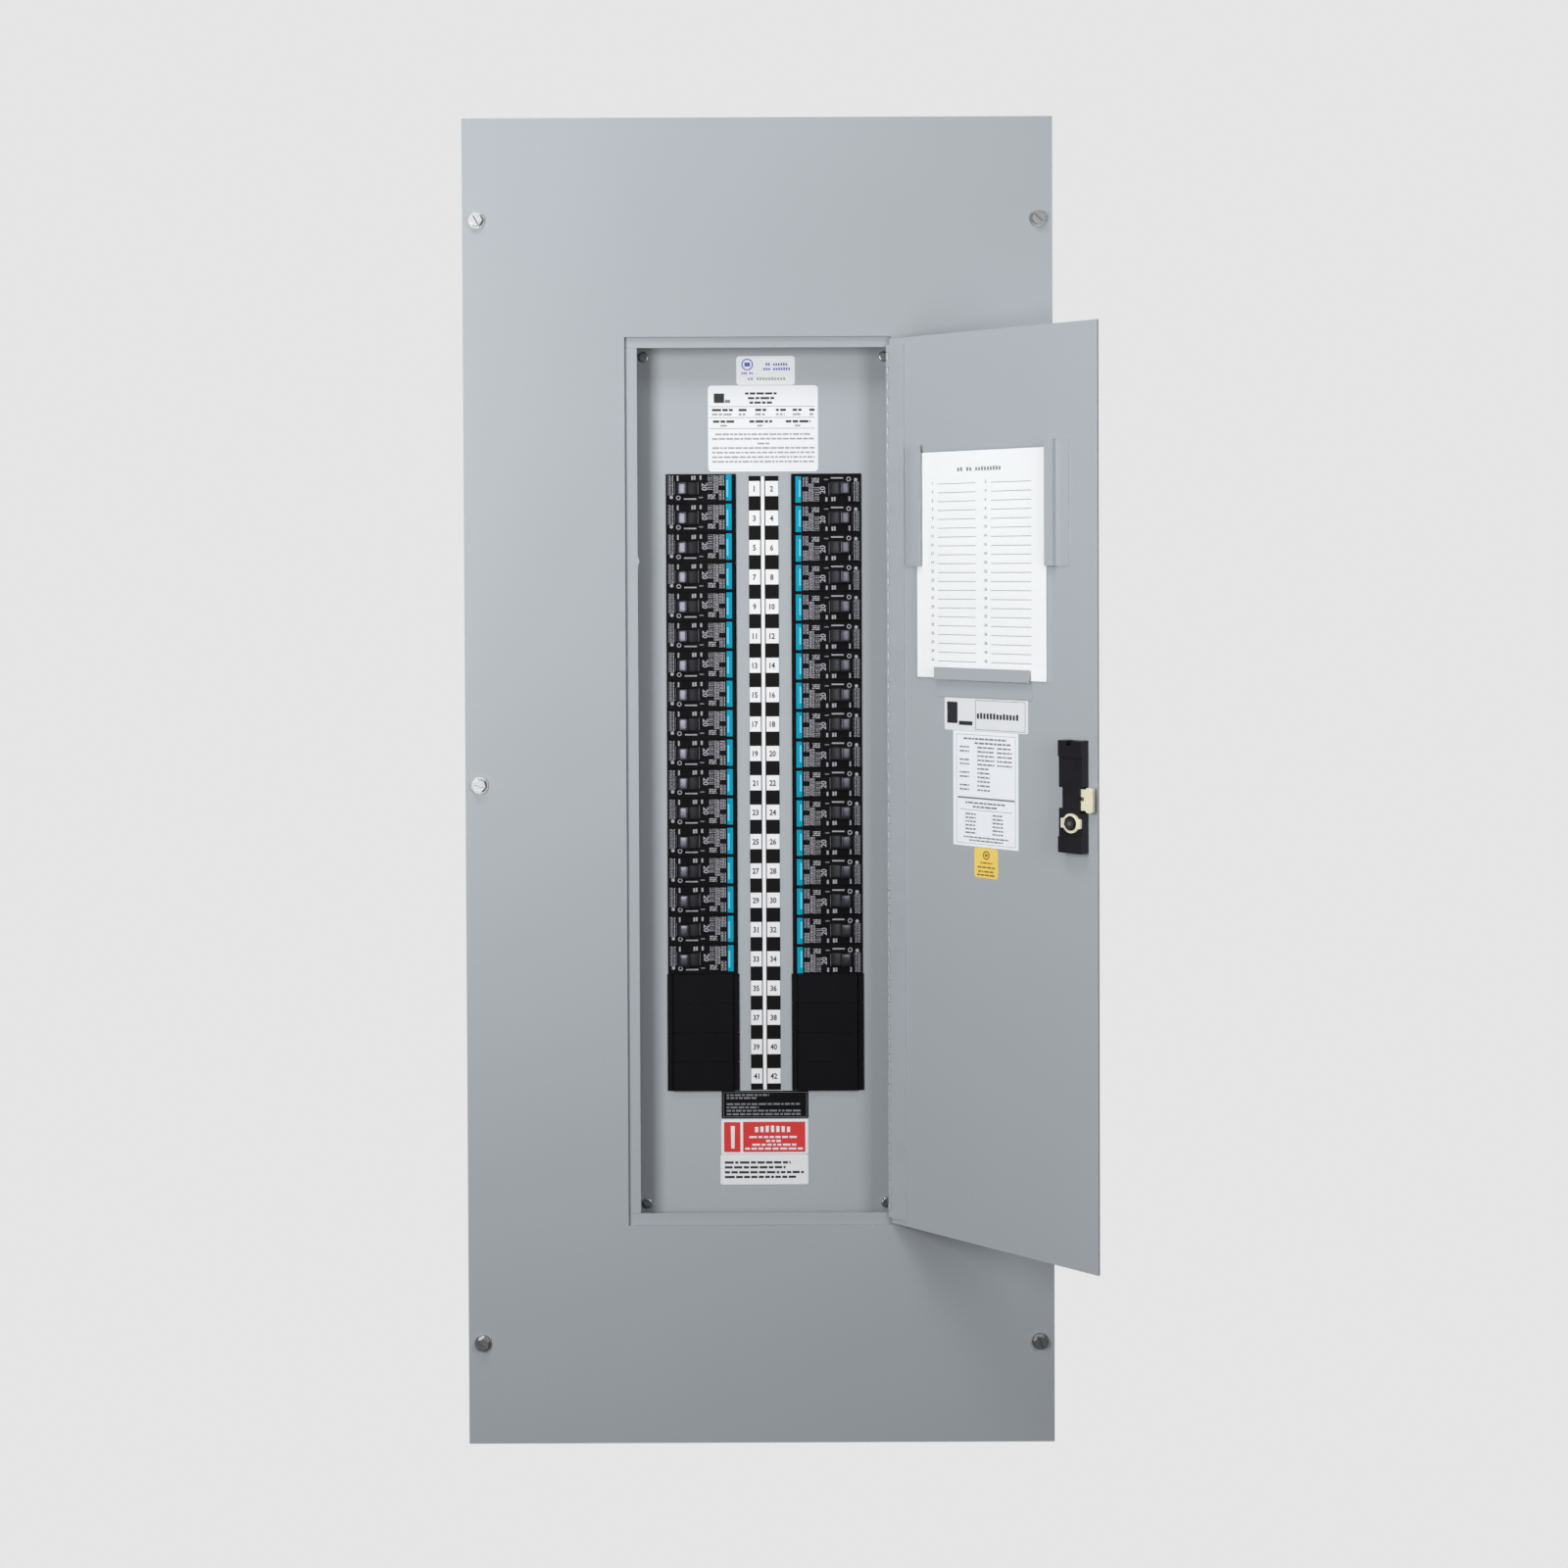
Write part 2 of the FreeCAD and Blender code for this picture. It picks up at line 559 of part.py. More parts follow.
def latch_bolt():
    """Sprung bolt, with the stem and thumb pad that draw it back from outside."""
    bolt = on_door(BOLT_T[0], BOLT_T[1], BOLT_H[0], BOLT_H[1], BOLT_Z[0], BOLT_Z[1])
    stem = on_door(STEM_T[0], STEM_T[1], -TRIM_SHEET - THUMB_PROUD[0], BOLT_H[0], STEM_Z[0], STEM_Z[1])
    pad_h = (-TRIM_SHEET - THUMB_PROUD[1], -TRIM_SHEET - THUMB_PROUD[0])
    pad = on_door(THUMB_T[0], THUMB_T[1], pad_h[0], pad_h[1], THUMB_Z[0], THUMB_Z[1])
    return swung_open(joined([bolt, stem, pad]))


def lock_cylinder():
    """Key plug through the latch, with a two-eared retaining cam and its nut inside."""
    x = HINGE_X - LOCK_T
    front = TRIM_FRONT - LOCK_PROUD
    plug = rod_y(x, LOCK_Z, LOCK_R, front, DOOR_INNER + CAM_H[0])
    cam = rod_y(x, LOCK_Z, CAM_R, DOOR_INNER + CAM_H[0], DOOR_INNER + CAM_H[1])
    ear_x, ear_z = CAM_EAR
    cam_y = (DOOR_INNER + CAM_H[0], DOOR_INNER + CAM_H[1])
    ears = box(x - ear_x, x + ear_x, cam_y[0], cam_y[1], LOCK_Z - ear_z / 2, LOCK_Z + ear_z / 2)
    nut = hex_y(x, LOCK_Z, LOCK_NUT_FLATS, DOOR_INNER + CAM_H[1], DOOR_INNER + LOCK_NUT_H)
    half_w, half_h, depth = KEYWAY[0] / 2, KEYWAY[1] / 2, KEYWAY[2]
    mouth = front - OVERCUT
    keyway = box(x - half_w, x + half_w, mouth, front + depth, LOCK_Z - half_h, LOCK_Z + half_h)
    return swung_open(joined([plug, cam, ears, nut]).cut(keyway))


def deadfront_screw_places():
    places = []
    for side_x in (-1, 1):
        for side_z in (-1, 1):
            x = DEADFRONT_X + side_x * DEADFRONT_SCREW_X
            places.append((x, DEADFRONT_Z + side_z * DEADFRONT_SCREW_Z))
    return places


def deadfront():
    """Inner cover with edges turned back and a tall window for each bank of breakers."""
    x0, x1 = DEADFRONT_X - DEADFRONT_HALF_W, DEADFRONT_X + DEADFRONT_HALF_W
    z0, z1 = DEADFRONT_Z - DEADFRONT_HALF_H, DEADFRONT_Z + DEADFRONT_HALF_H
    t = DEADFRONT_SHEET
    edge = DEADFRONT_FRONT + DEADFRONT_EDGE
    cut_y = (DEADFRONT_FRONT - OVERCUT, DEADFRONT_REAR + OVERCUT)
    cover = box(x0, x1, DEADFRONT_FRONT, edge, z0, z1)
    hollow = box(x0 + t, x1 - t, DEADFRONT_REAR, edge + OVERCUT, z0 + t, z1 - t)
    top = row_z(0) + ROW_PITCH / 2
    bottom = row_z(ROW_COUNT - 1) - ROW_PITCH / 2
    cuts = [hollow]
    for side in (-1, 1):
        near = INTERIOR_X + side * WINDOW_U[0]
        far = INTERIOR_X + side * WINDOW_U[1]
        cuts.append(box(near, far, cut_y[0], cut_y[1], bottom, top))
    for x, z in deadfront_screw_places():
        cuts.append(rod_y(x, z, DEADFRONT_HOLE_R, cut_y[0], cut_y[1]))
    return cover.cut(cuts)


def deadfront_screw(x, z, angle):
    """Slotted pan head and shank."""
    head_front = DEADFRONT_FRONT - DEADFRONT_HEAD_T
    head = rod_y(x, z, DEADFRONT_HEAD_R, head_front, DEADFRONT_FRONT)
    rim = [edge for edge in head.Edges if abs(edge.CenterOfMass.y - head_front) < NEAR]
    head = head.makeFillet(DEADFRONT_HEAD_ROUND, rim)
    shank = rod_y(x, z, DEADFRONT_SHANK_R, DEADFRONT_FRONT, DEADFRONT_FRONT + DEADFRONT_SHANK)
    width, depth = DEADFRONT_SLOT
    reach = DEADFRONT_HEAD_R + OVERCUT
    slot_y = (head_front - OVERCUT, head_front + depth)
    slot = box(x - reach, x + reach, slot_y[0], slot_y[1], z - width / 2, z + width / 2)
    screw = joined([head, shank]).cut(slot)
    screw.rotate(V(x, 0, z), Y_AXIS, angle)
    return screw


def deadfront_screws():
    angles = (25.0, 70.0, 48.0, 12.0)
    places = deadfront_screw_places()
    return Part.makeCompound([deadfront_screw(x, z, angle) for (x, z), angle in zip(places, angles)])


def interior_pan():
    """Pan behind the bus, with feet on the box's back and end risers that carry the deadfront."""
    x, zc = INTERIOR_X, DEADFRONT_Z
    t = PAN_SHEET
    rear = PAN_FRONT + t
    foot_rear = -BOX_SHEET
    lip_rear = DEADFRONT_REAR + t
    high = PAN_HALF_H
    pieces = [box(x - PAN_HALF_W, x + PAN_HALF_W, PAN_FRONT, rear, zc - high, zc + high)]
    for side in (-1, 1):
        x_out = x + side * PAN_HALF_W
        x_in = x_out - side * t
        x_foot = x_out + side * PAN_FOOT
        pieces.append(box(x_in, x_out, PAN_FRONT, foot_rear, zc - high, zc + high))
        pieces.append(box(x_in, x_foot, foot_rear - t, foot_rear, zc - high, zc + high))
        z_out = zc + side * high
        z_in = z_out - side * t
        z_lip = z_out - side * PAN_LIP
        wide = PAN_RISER_HALF_W
        pieces.append(box(DEADFRONT_X - wide, DEADFRONT_X + wide, DEADFRONT_REAR, rear, z_in, z_out))
        pieces.append(box(DEADFRONT_X - wide, DEADFRONT_X + wide, DEADFRONT_REAR, lip_rear, z_lip, z_out))
    holes = []
    for hole_x, hole_z in deadfront_screw_places():
        cut_y = (DEADFRONT_REAR - OVERCUT, lip_rear + OVERCUT)
        holes.append(rod_y(hole_x, hole_z, DEADFRONT_HOLE_R, cut_y[0], cut_y[1]))
    return joined(pieces).cut(holes)


def breaker_case():
    """One case of the left bank, for the row at height zero."""
    half = CASE_LENGTH_Z / 2
    u0, u1 = FACE_U
    y0, y1 = LOAD_POCKET_Y
    pocket_u = CASE_OUTER_U - LOAD_POCKET_DEPTH
    c = FACE_CHAMFER
    outline = [(CASE_INNER_U, CASE_BACK), (CASE_INNER_U, CASE_SHOULDER), (u0, CASE_SHOULDER)]
    outline += [(u0, FACE_FRONT + c), (u0 + c, FACE_FRONT), (u1 - c, FACE_FRONT), (u1, FACE_FRONT + c)]
    outline += [(u1, CASE_SHOULDER), (CASE_OUTER_U, CASE_SHOULDER), (CASE_OUTER_U, y0), (pocket_u, y0)]
    outline += [(pocket_u, y1), (CASE_OUTER_U, y1), (CASE_OUTER_U, CASE_BACK)]
    case = prism_z([(INTERIOR_X - u, y) for u, y in outline], -half, half)
    tab_u, tab_t, tab_z = LINE_TAB
    tab_x = (INTERIOR_X - tab_u, INTERIOR_X - CASE_INNER_U - OVERCUT)
    tab_y = (STRAP_CROSS_FRONT - tab_t, STRAP_CROSS_FRONT)
    tab = box(tab_x[0], tab_x[1], tab_y[0], tab_y[1], -tab_z / 2, tab_z / 2)
    x = INTERIOR_X - ROTOR_U
    well_half = ROTOR_HALF_Z + ROTOR_GAP
    well = rod_z(x, ROTOR_Y, ROTOR_R + ROTOR_GAP, -well_half, well_half)
    bore_half = TRUNNION_HALF_Z + ROTOR_GAP
    bore = rod_z(x, ROTOR_Y, TRUNNION_BORE_R, -bore_half, bore_half)
    return joined([case, tab]).cut([well, bore])


def toggle():
    """One handle of the left bank, for the row at height zero: a rotor, its trunnions and a grip."""
    x = INTERIOR_X - ROTOR_U
    rotor = rod_z(x, ROTOR_Y, ROTOR_R, -ROTOR_HALF_Z, ROTOR_HALF_Z)
    trunnions = rod_z(x, ROTOR_Y, TRUNNION_R, -TRUNNION_HALF_Z, TRUNNION_HALF_Z)
    tip = ROTOR_Y - HANDLE_TIP_R
    grip = box(x - HANDLE_W / 2, x + HANDLE_W / 2, tip, ROTOR_Y, -ROTOR_HALF_Z, ROTOR_HALF_Z)
    crest = [edge for edge in grip.Edges if abs(edge.CenterOfMass.y - tip) < NEAR]
    long_crest = [edge for edge in crest if abs(edge.CenterOfMass.x - x) > NEAR]
    grip = grip.makeFillet(HANDLE_ROUND, long_crest)
    handle = joined([rotor, trunnions, grip])
    handle.rotate(V(x, ROTOR_Y, 0), Z_AXIS, -HANDLE_ANGLE)
    return handle


def placed(shape, row, side):
    """Moves a left-bank shape to its row. On the right bank (side 1) it is also turned half round."""
    copy = shape.copy()
    if side > 0:
        copy.rotate(V(INTERIOR_X, 0, 0), Y_AXIS, 180)
    copy.translate(V(0, 0, row_z(row)))
    return copy


def breaker_cases():
    case = breaker_case()
    return Part.makeCompound([placed(case, row, side) for side in (-1, 1) for row in range(BREAKER_ROWS)])


def filler_plate():
    """Snap-in cover for one unused position of the left bank, for the row at height zero."""
    half = FILLER_LENGTH_Z / 2
    u0, u1 = FILLER_U
    edge = DEADFRONT_FRONT - FILLER_EDGE_T
    crest = DEADFRONT_FRONT - FILLER_RISE
    s0, s1, s2, s3 = FILLER_SLOPE_U
    outline = [(u0, DEADFRONT_FRONT), (u0, edge), (s0, edge), (s1, crest), (s2, crest), (s3, edge)]
    outline += [(u1, edge), (u1, DEADFRONT_FRONT)]
    pieces = [prism_z([(INTERIOR_X - u, y) for u, y in outline], -half, half)]
    catch = DEADFRONT_REAR + FILLER_HOOK_GAP
    for wall, side in ((WINDOW_U[0], 1), (WINDOW_U[1], -1)):
        near = wall + side * FILLER_HOOK_GAP
        leg_x = (INTERIOR_X - near, INTERIOR_X - near - side * FILLER_LEG_T)
        hook_x = INTERIOR_X - near + side * FILLER_HOOK
        legs_z = (-FILLER_LEG_HALF_Z, FILLER_LEG_HALF_Z)
        pieces.append(box(leg_x[0], leg_x[1], DEADFRONT_FRONT, FILLER_LEG_END, legs_z[0], legs_z[1]))
        pieces.append(box(hook_x, leg_x[1], catch, FILLER_LEG_END, legs_z[0], legs_z[1]))
    return joined(pieces)


def filler_plates():
    plate = filler_plate()
    rows = range(BREAKER_ROWS, ROW_COUNT)
    return Part.makeCompound([placed(plate, row, side) for side in (-1, 1) for row in rows])


def bus_bars():
    bars = []
    for offset in BUS_XS:
        x = INTERIOR_X + offset
        bars.append(box(x - BUS_W / 2, x + BUS_W / 2, BUS_FRONT, BUS_FRONT + BUS_T, BUS_Z0, BUS_Z1))
    return Part.makeCompound(bars)


def bus_insulators():
    """Moulded supports between the pan and the bus, and the posts under the neutral bar."""
    blocks = []
    bus_rear = BUS_FRONT + BUS_T
    for z in INSULATOR_ZS:
        low, high = z - INSULATOR_H / 2, z + INSULATOR_H / 2
        x0, x1 = INTERIOR_X - INSULATOR_HALF_W, INTERIOR_X + INSULATOR_HALF_W
        pieces = [box(x0, x1, bus_rear, PAN_FRONT, low, high)]
        for offset in INSULATOR_RIB_XS:
            x = INTERIOR_X + offset
            ribs_x = (x - INSULATOR_RIB_W / 2, x + INSULATOR_RIB_W / 2)
            pieces.append(box(ribs_x[0], ribs_x[1], bus_rear - INSULATOR_RIB_H, bus_rear, low, high))
        blocks.append(joined(pieces))
    for offset in NEUTRAL_POST_XS:
        blocks.append(
            rod_y(INTERIOR_X + offset, NEUTRAL_Z, POST_R, NEUTRAL_FRONT + TERMINAL_BAR_T, PAN_FRONT)
        )
    return Part.makeCompound(blocks)


def branch_strap(row):
    """Strap from one bus bar to the pair of breakers in a row. Rows take the bars in turn."""
    z = row_z(row)
    x = INTERIOR_X
    bus_x = INTERIOR_X + BUS_XS[row % len(BUS_XS)]
    z0, z1 = z - STRAP_HALF_Z, z + STRAP_HALF_Z
    arm_rear = STRAP_ARM_FRONT + STRAP_T
    cross_rear = STRAP_CROSS_FRONT + STRAP_CROSS_T
    reach = STRAP_PAD_HALF_X
    arm_x = (min(x, bus_x) - reach, max(x, bus_x) + reach)
    pieces = [box(arm_x[0], arm_x[1], STRAP_ARM_FRONT, arm_rear, z0, z1)]
    pieces.append(box(bus_x - reach, bus_x + reach, arm_rear, BUS_FRONT, z0, z1))
    pieces.append(box(x - STRAP_RISER_HALF_X, x + STRAP_RISER_HALF_X, cross_rear, STRAP_ARM_FRONT, z0, z1))
    cross_x = (x - STRAP_CROSS_HALF_X, x + STRAP_CROSS_HALF_X)
    pieces.append(box(cross_x[0], cross_x[1], STRAP_CROSS_FRONT, cross_rear, z0, z1))
    return joined(pieces)


def branch_straps():
    return Part.makeCompound([branch_strap(row) for row in range(ROW_COUNT)])


def main_lugs():
    """A lug with a set screw on the upper end of each bus bar."""
    lugs = []
    front = BUS_FRONT - LUG_DEPTH
    middle = BUS_FRONT - LUG_DEPTH / 2
    screw_z = (LUG_Z0 + BUS_Z1) / 2
    for offset in BUS_XS:
        x = INTERIOR_X + offset
        block = box(x - LUG_HALF_X, x + LUG_HALF_X, front, BUS_FRONT, LUG_Z0, BUS_Z1)
        screw = rod_y(x, screw_z, LUG_SCREW_R, front - LUG_SCREW_PROUD, front)
        socket = hex_y(x, screw_z, LUG_SOCKET_FLATS, front - LUG_SCREW_PROUD - OVERCUT, front)
        wire_hole = rod_z(x, middle, LUG_BORE_R, LUG_Z0 - OVERCUT, BUS_Z1 + OVERCUT)
        lugs.append(joined([block, screw]).cut([socket, wire_hole]))
    return Part.makeCompound(lugs)


def terminal_bar(length):
    """Upright bar on the axis, its rear face at y = 0, with screws in front and wire holes across."""
    half = TERMINAL_BAR_T / 2
    front = -TERMINAL_BAR_T
    bar = box(-half, half, front, 0, -length / 2, length / 2)
    count = int(length / TERMINAL_PITCH) - 1
    first = -TERMINAL_PITCH * (count - 1) / 2
    screws = []
    cuts = []
    slot_w, slot_depth = TERMINAL_SLOT
    crest = front - TERMINAL_SCREW_PROUD
    for index in range(count):
        z = first + TERMINAL_PITCH * index
        screws.append(rod_y(0, z, TERMINAL_SCREW_R, crest, front))
        cuts.append(box(-half, half, crest - OVERCUT, crest + slot_depth, z - slot_w / 2, z + slot_w / 2))
        start = V(-half - OVERCUT, front / 2, z)
        cuts.append(Part.makeCylinder(TERMINAL_WIRE_R, TERMINAL_BAR_T + 2 * OVERCUT, start, X_AXIS))
    return joined([bar] + screws).cut(cuts)


def neutral_bar():
    bar = terminal_bar(2 * NEUTRAL_HALF_X)
    bar.rotate(V(0, 0, 0), Y_AXIS, 90)
    bar.translate(V(INTERIOR_X, NEUTRAL_FRONT + TERMINAL_BAR_T, NEUTRAL_Z))
    return bar


def ground_bar():
    """Terminal bar on two feet, in the wiring space to the right of the pan."""
    middle = (GROUND_Z0 + GROUND_Z1) / 2
    rear = GROUND_FRONT + TERMINAL_BAR_T
    bar = terminal_bar(GROUND_Z1 - GROUND_Z0)
    bar.translate(V(GROUND_X, rear, middle))
    feet = []
    for z in (GROUND_Z0 + TERMINAL_PITCH, GROUND_Z1 - TERMINAL_PITCH):
        feet.append(rod_y(GROUND_X, z, GROUND_FOOT_R, rear, -BOX_SHEET))
    return joined([bar] + feet)


def all_parts():
    """Every sub-part by name."""
    parts = {
        "enclosure_tub": enclosure_tub(),
        "end_walls": end_walls(),
        "trim": trim(),
        "trim_screws": trim_screws(),
        "door_stop_frame": door_stop_frame(),
        "hinge_trim_leaf": hinge_leaf(1, 0),
        "hinge_pin": hinge_pin(),
        "hinge_door_leaf": swung_open(hinge_leaf(-1, 1)),
        "door_panel": door_panel(),
        "directory_holder": directory_holder(),
        "directory_card": directory_card(),
        "card_window": card_window(),
        "latch_housing": latch_housing(),
        "latch_bolt": latch_bolt(),
        "lock_cylinder": lock_cylinder(),
        "deadfront": deadfront(),
        "deadfront_screws": deadfront_screws(),
        "interior_pan": interior_pan(),
        "breaker_cases": breaker_cases(),
        "filler_plates": filler_plates(),
        "bus_bars": bus_bars(),
        "bus_insulators": bus_insulators(),
        "branch_straps": branch_straps(),
        "main_lugs": main_lugs(),
        "neutral_bar": neutral_bar(),
        "ground_bar": ground_bar(),
    }
    handle = toggle()
    for row in range(BREAKER_ROWS):
        parts[f"toggle_{2 * row + 1:02d}"] = placed(handle, row, -1)
        parts[f"toggle_{2 * row + 2:02d}"] = placed(handle, row, 1)
    return parts


os.makedirs("parts", exist_ok=True)
for name, shape in all_parts().items():
    shape.exportStep(f"parts/{name}.step")
    print(name, "valid" if shape.isValid() else "INVALID", len(shape.Solids), round(shape.Volume, 1))
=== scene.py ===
import json
import math
import random

import bmesh
import bpy
from mathutils import Matrix, Vector


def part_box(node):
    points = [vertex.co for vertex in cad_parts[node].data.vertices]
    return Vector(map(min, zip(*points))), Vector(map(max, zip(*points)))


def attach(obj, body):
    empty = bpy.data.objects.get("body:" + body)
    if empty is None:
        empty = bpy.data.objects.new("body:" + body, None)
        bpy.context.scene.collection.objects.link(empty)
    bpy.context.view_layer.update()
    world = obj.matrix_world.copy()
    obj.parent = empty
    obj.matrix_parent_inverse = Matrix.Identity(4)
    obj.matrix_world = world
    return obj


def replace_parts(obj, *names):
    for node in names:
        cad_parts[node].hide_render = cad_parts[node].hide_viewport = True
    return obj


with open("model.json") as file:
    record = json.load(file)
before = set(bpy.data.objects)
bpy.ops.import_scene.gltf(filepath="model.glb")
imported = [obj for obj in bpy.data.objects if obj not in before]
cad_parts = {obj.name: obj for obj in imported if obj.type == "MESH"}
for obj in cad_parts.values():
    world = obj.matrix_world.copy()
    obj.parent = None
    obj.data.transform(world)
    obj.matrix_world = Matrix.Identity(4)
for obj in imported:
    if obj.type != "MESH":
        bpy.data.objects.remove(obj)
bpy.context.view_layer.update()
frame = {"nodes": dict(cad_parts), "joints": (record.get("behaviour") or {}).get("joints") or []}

MM = 0.001

# ------------------------------------------------------------------ places
# Everything added here is placed from the CAD frame, in millimetres on one of three flat faces.


class Plane:
    """A flat face: a point on it, with its right, up and outward directions."""

    def __init__(self, origin, right, up):
        self.origin = Vector(origin)
        self.right = Vector(right)
        self.up = Vector(up)
        self.out = self.right.cross(self.up)

    def at(self, a, b, h=0.0):
        """The point a to the right, b up and h outward, in millimetres."""
        return self.origin + (self.right * a + self.up * b + self.out * h) * MM


def middle_of(node):
    low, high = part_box(node)
    return (low + high) / 2


CENTRE_X = (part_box("toggle_01")[0].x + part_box("toggle_02")[1].x) / 2
ROW_TOP = middle_of("toggle_01").z
ROW_PITCH = ROW_TOP - middle_of("toggle_03").z
COVER_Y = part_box("deadfront")[0].y
FACE_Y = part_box("breaker_cases")[0].y
BREAKER_ROWS = 17
ALL_ROWS = 21

COVER = Plane((CENTRE_X, COVER_Y, 0), (1, 0, 0), (0, 0, 1))

DOOR_JOINT = next(j for j in frame["joints"] if j["name"] == "door_hinge")
PIN = Vector(DOOR_JOINT["pos_m"])
SWING = Matrix.Rotation(math.radians(-DOOR_JOINT["range_deg"][0]), 3, "Z")
DOOR_BACK = SWING @ Vector((0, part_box("trim")[1].y - PIN.y, 0))
DOOR = Plane((PIN.x + DOOR_BACK.x, PIN.y + DOOR_BACK.y, 0), SWING @ Vector((-1, 0, 0)), (0, 0, 1))

LOCK_JOINT = next(j for j in frame["joints"] if j["name"] == "lock_turn")
LOCK_AT = Vector(LOCK_JOINT["pos_m"]) - DOOR.origin
LOCK_T = LOCK_AT.dot(DOOR.right) / MM
LOCK_Z = LOCK_AT.z / MM

# heights of the thin layers above their face: (bottom, top)
PAPER = (-0.02, 0.12)
INK = (0.08, 0.16)
PRINT = (-0.02, 0.06)


# --------------------------------------------------------------- materials


class Graph:
    """Adds shader nodes to one tree. An input is either a socket to join or a constant."""

    def __init__(self, tree):
        self.tree = tree
        tree.nodes.clear()

    def add(self, kind, inputs=None, **settings):
        node = self.tree.nodes.new("ShaderNode" + kind)
        for key, value in settings.items():
            setattr(node, key, value)
        for key, value in (inputs or {}).items():
            if isinstance(value, bpy.types.NodeSocket):
                self.tree.links.new(value, node.inputs[key])
            else:
                node.inputs[key].default_value = value
        return node

    def mix(self, share, first, second):
        node = self.add("Mix", {0: share, 6: first, 7: second}, data_type="RGBA")
        return node.outputs[2]

    def spread(self, value, low, high, to_low, to_high):
        inputs = {"Value": value, "From Min": low, "From Max": high, "To Min": to_low, "To Max": to_high}
        return self.add("MapRange", inputs).outputs[0]

    def sums(self, operation, first, second):
        return self.add("Math", {0: first, 1: second}, operation=operation).outputs[0]

    def noise(self, place, scale, detail=3.0):
        return self.add("TexNoise", {"Vector": place, "Scale": scale, "Detail": detail}).outputs[0]


def tone(red, green, blue):
    """The linear colour of an 8-bit one."""
    parts = [v / 255 for v in (red, green, blue)]
    return [v / 12.92 if v <= 0.04045 else ((v + 0.055) / 1.055) ** 2.4 for v in parts]


def scaled(colour, factor):
    return [min(v * factor, 1.0) for v in colour] + [1.0]


def look(name, colour, rough, metal=0.0, drift=0.05, patch=6.0, grain=700.0, bump=0.1,
         edge_wear_and_highlight=None, edge_band_size=0.5, alpha=1.0, streak=1.0, spangle=0.0, sheen=0.5,
         tint=(1.0, 1.0, 1.0), painted_glow=0.0):
    """A finish with drifting colour, uneven roughness, a fine grain and, if asked, edges of another colour:
    a painted edge highlight where that colour is lighter, wear where it is darker or bare steel.

    The glow amount is painted light, an emission of the finish's own: a little on some labels, to bring them
    to their brightness under these lamps, and more on the floor.
    """
    material = bpy.data.materials.new(name)
    material.use_nodes = True
    graph = Graph(material.node_tree)
    place = graph.add("TexCoord").outputs["Object"]
    drawn = graph.add("Mapping", {"Vector": place, "Scale": (1.0, 1.0, streak)}).outputs[0]
    wide = graph.noise(drawn, patch)
    fine = graph.noise(drawn, grain, 2.0)
    share = graph.spread(wide, 0.3, 0.7, 0.0, 1.0)
    shade = graph.mix(share, scaled(colour, 1 - drift), scaled(colour, 1 + drift))
    speck = graph.spread(fine, 0.35, 0.65, 0.0, 1.0)
    shade = graph.mix(graph.sums("MULTIPLY", speck, 0.25), shade, scaled(colour, 1 - 2 * drift))
    rough_map = graph.spread(graph.sums("ADD", wide, fine), 0.6, 1.4, rough * 0.88, min(rough * 1.12, 1.0))
    if spangle:
        cells = graph.add("TexVoronoi", {"Vector": place, "Scale": spangle}).outputs["Color"]
        level = graph.add("SeparateColor", {0: cells}).outputs[0]
        shade = graph.mix(level, scaled(colour, 0.8), scaled(colour, 1.15))
        rough_map = graph.spread(level, 0.0, 1.0, rough * 0.8, rough * 1.25)
    # Edges in another colour: lighter on the paints, blacks, cream and chrome, a painted edge highlight;
    # darker on the zinc and bare on the hinge, wear.
    if edge_wear_and_highlight:
        face = graph.add("NewGeometry").outputs["Normal"]
        softened = graph.add("Bevel", {"Radius": edge_band_size * MM}, samples=4).outputs[0]
        match = graph.add("VectorMath", {0: face, 1: softened}, operation="DOT_PRODUCT").outputs["Value"]
        edge = graph.spread(match, 0.985, 0.8, 0.0, 1.0)
        patchy = graph.spread(graph.noise(place, 160.0), 0.42, 0.62, 0.0, 0.85)
        shade = graph.mix(graph.sums("MULTIPLY", edge, patchy), shade, scaled(edge_wear_and_highlight, 1.0))
    bumped = graph.add("Bump", {"Strength": bump, "Distance": 0.15 * MM, "Height": fine}).outputs[0]
    settings = {"Base Color": shade, "Roughness": rough_map, "Normal": bumped, "Metallic": metal}
    settings.update({"Alpha": alpha, "Specular IOR Level": sheen, "Specular Tint": scaled(tint, 1.0)})
    # painted light: the finish glows in its own colour, as much as asked
    settings.update({"Emission Color": shade, "Emission Strength": painted_glow})
    shader = graph.add("BsdfPrincipled", settings)
    graph.add("OutputMaterial", {"Surface": shader.outputs[0]})
    return material


PAINT = (0.440, 0.470, 0.499)
BARE = (0.60, 0.61, 0.62)
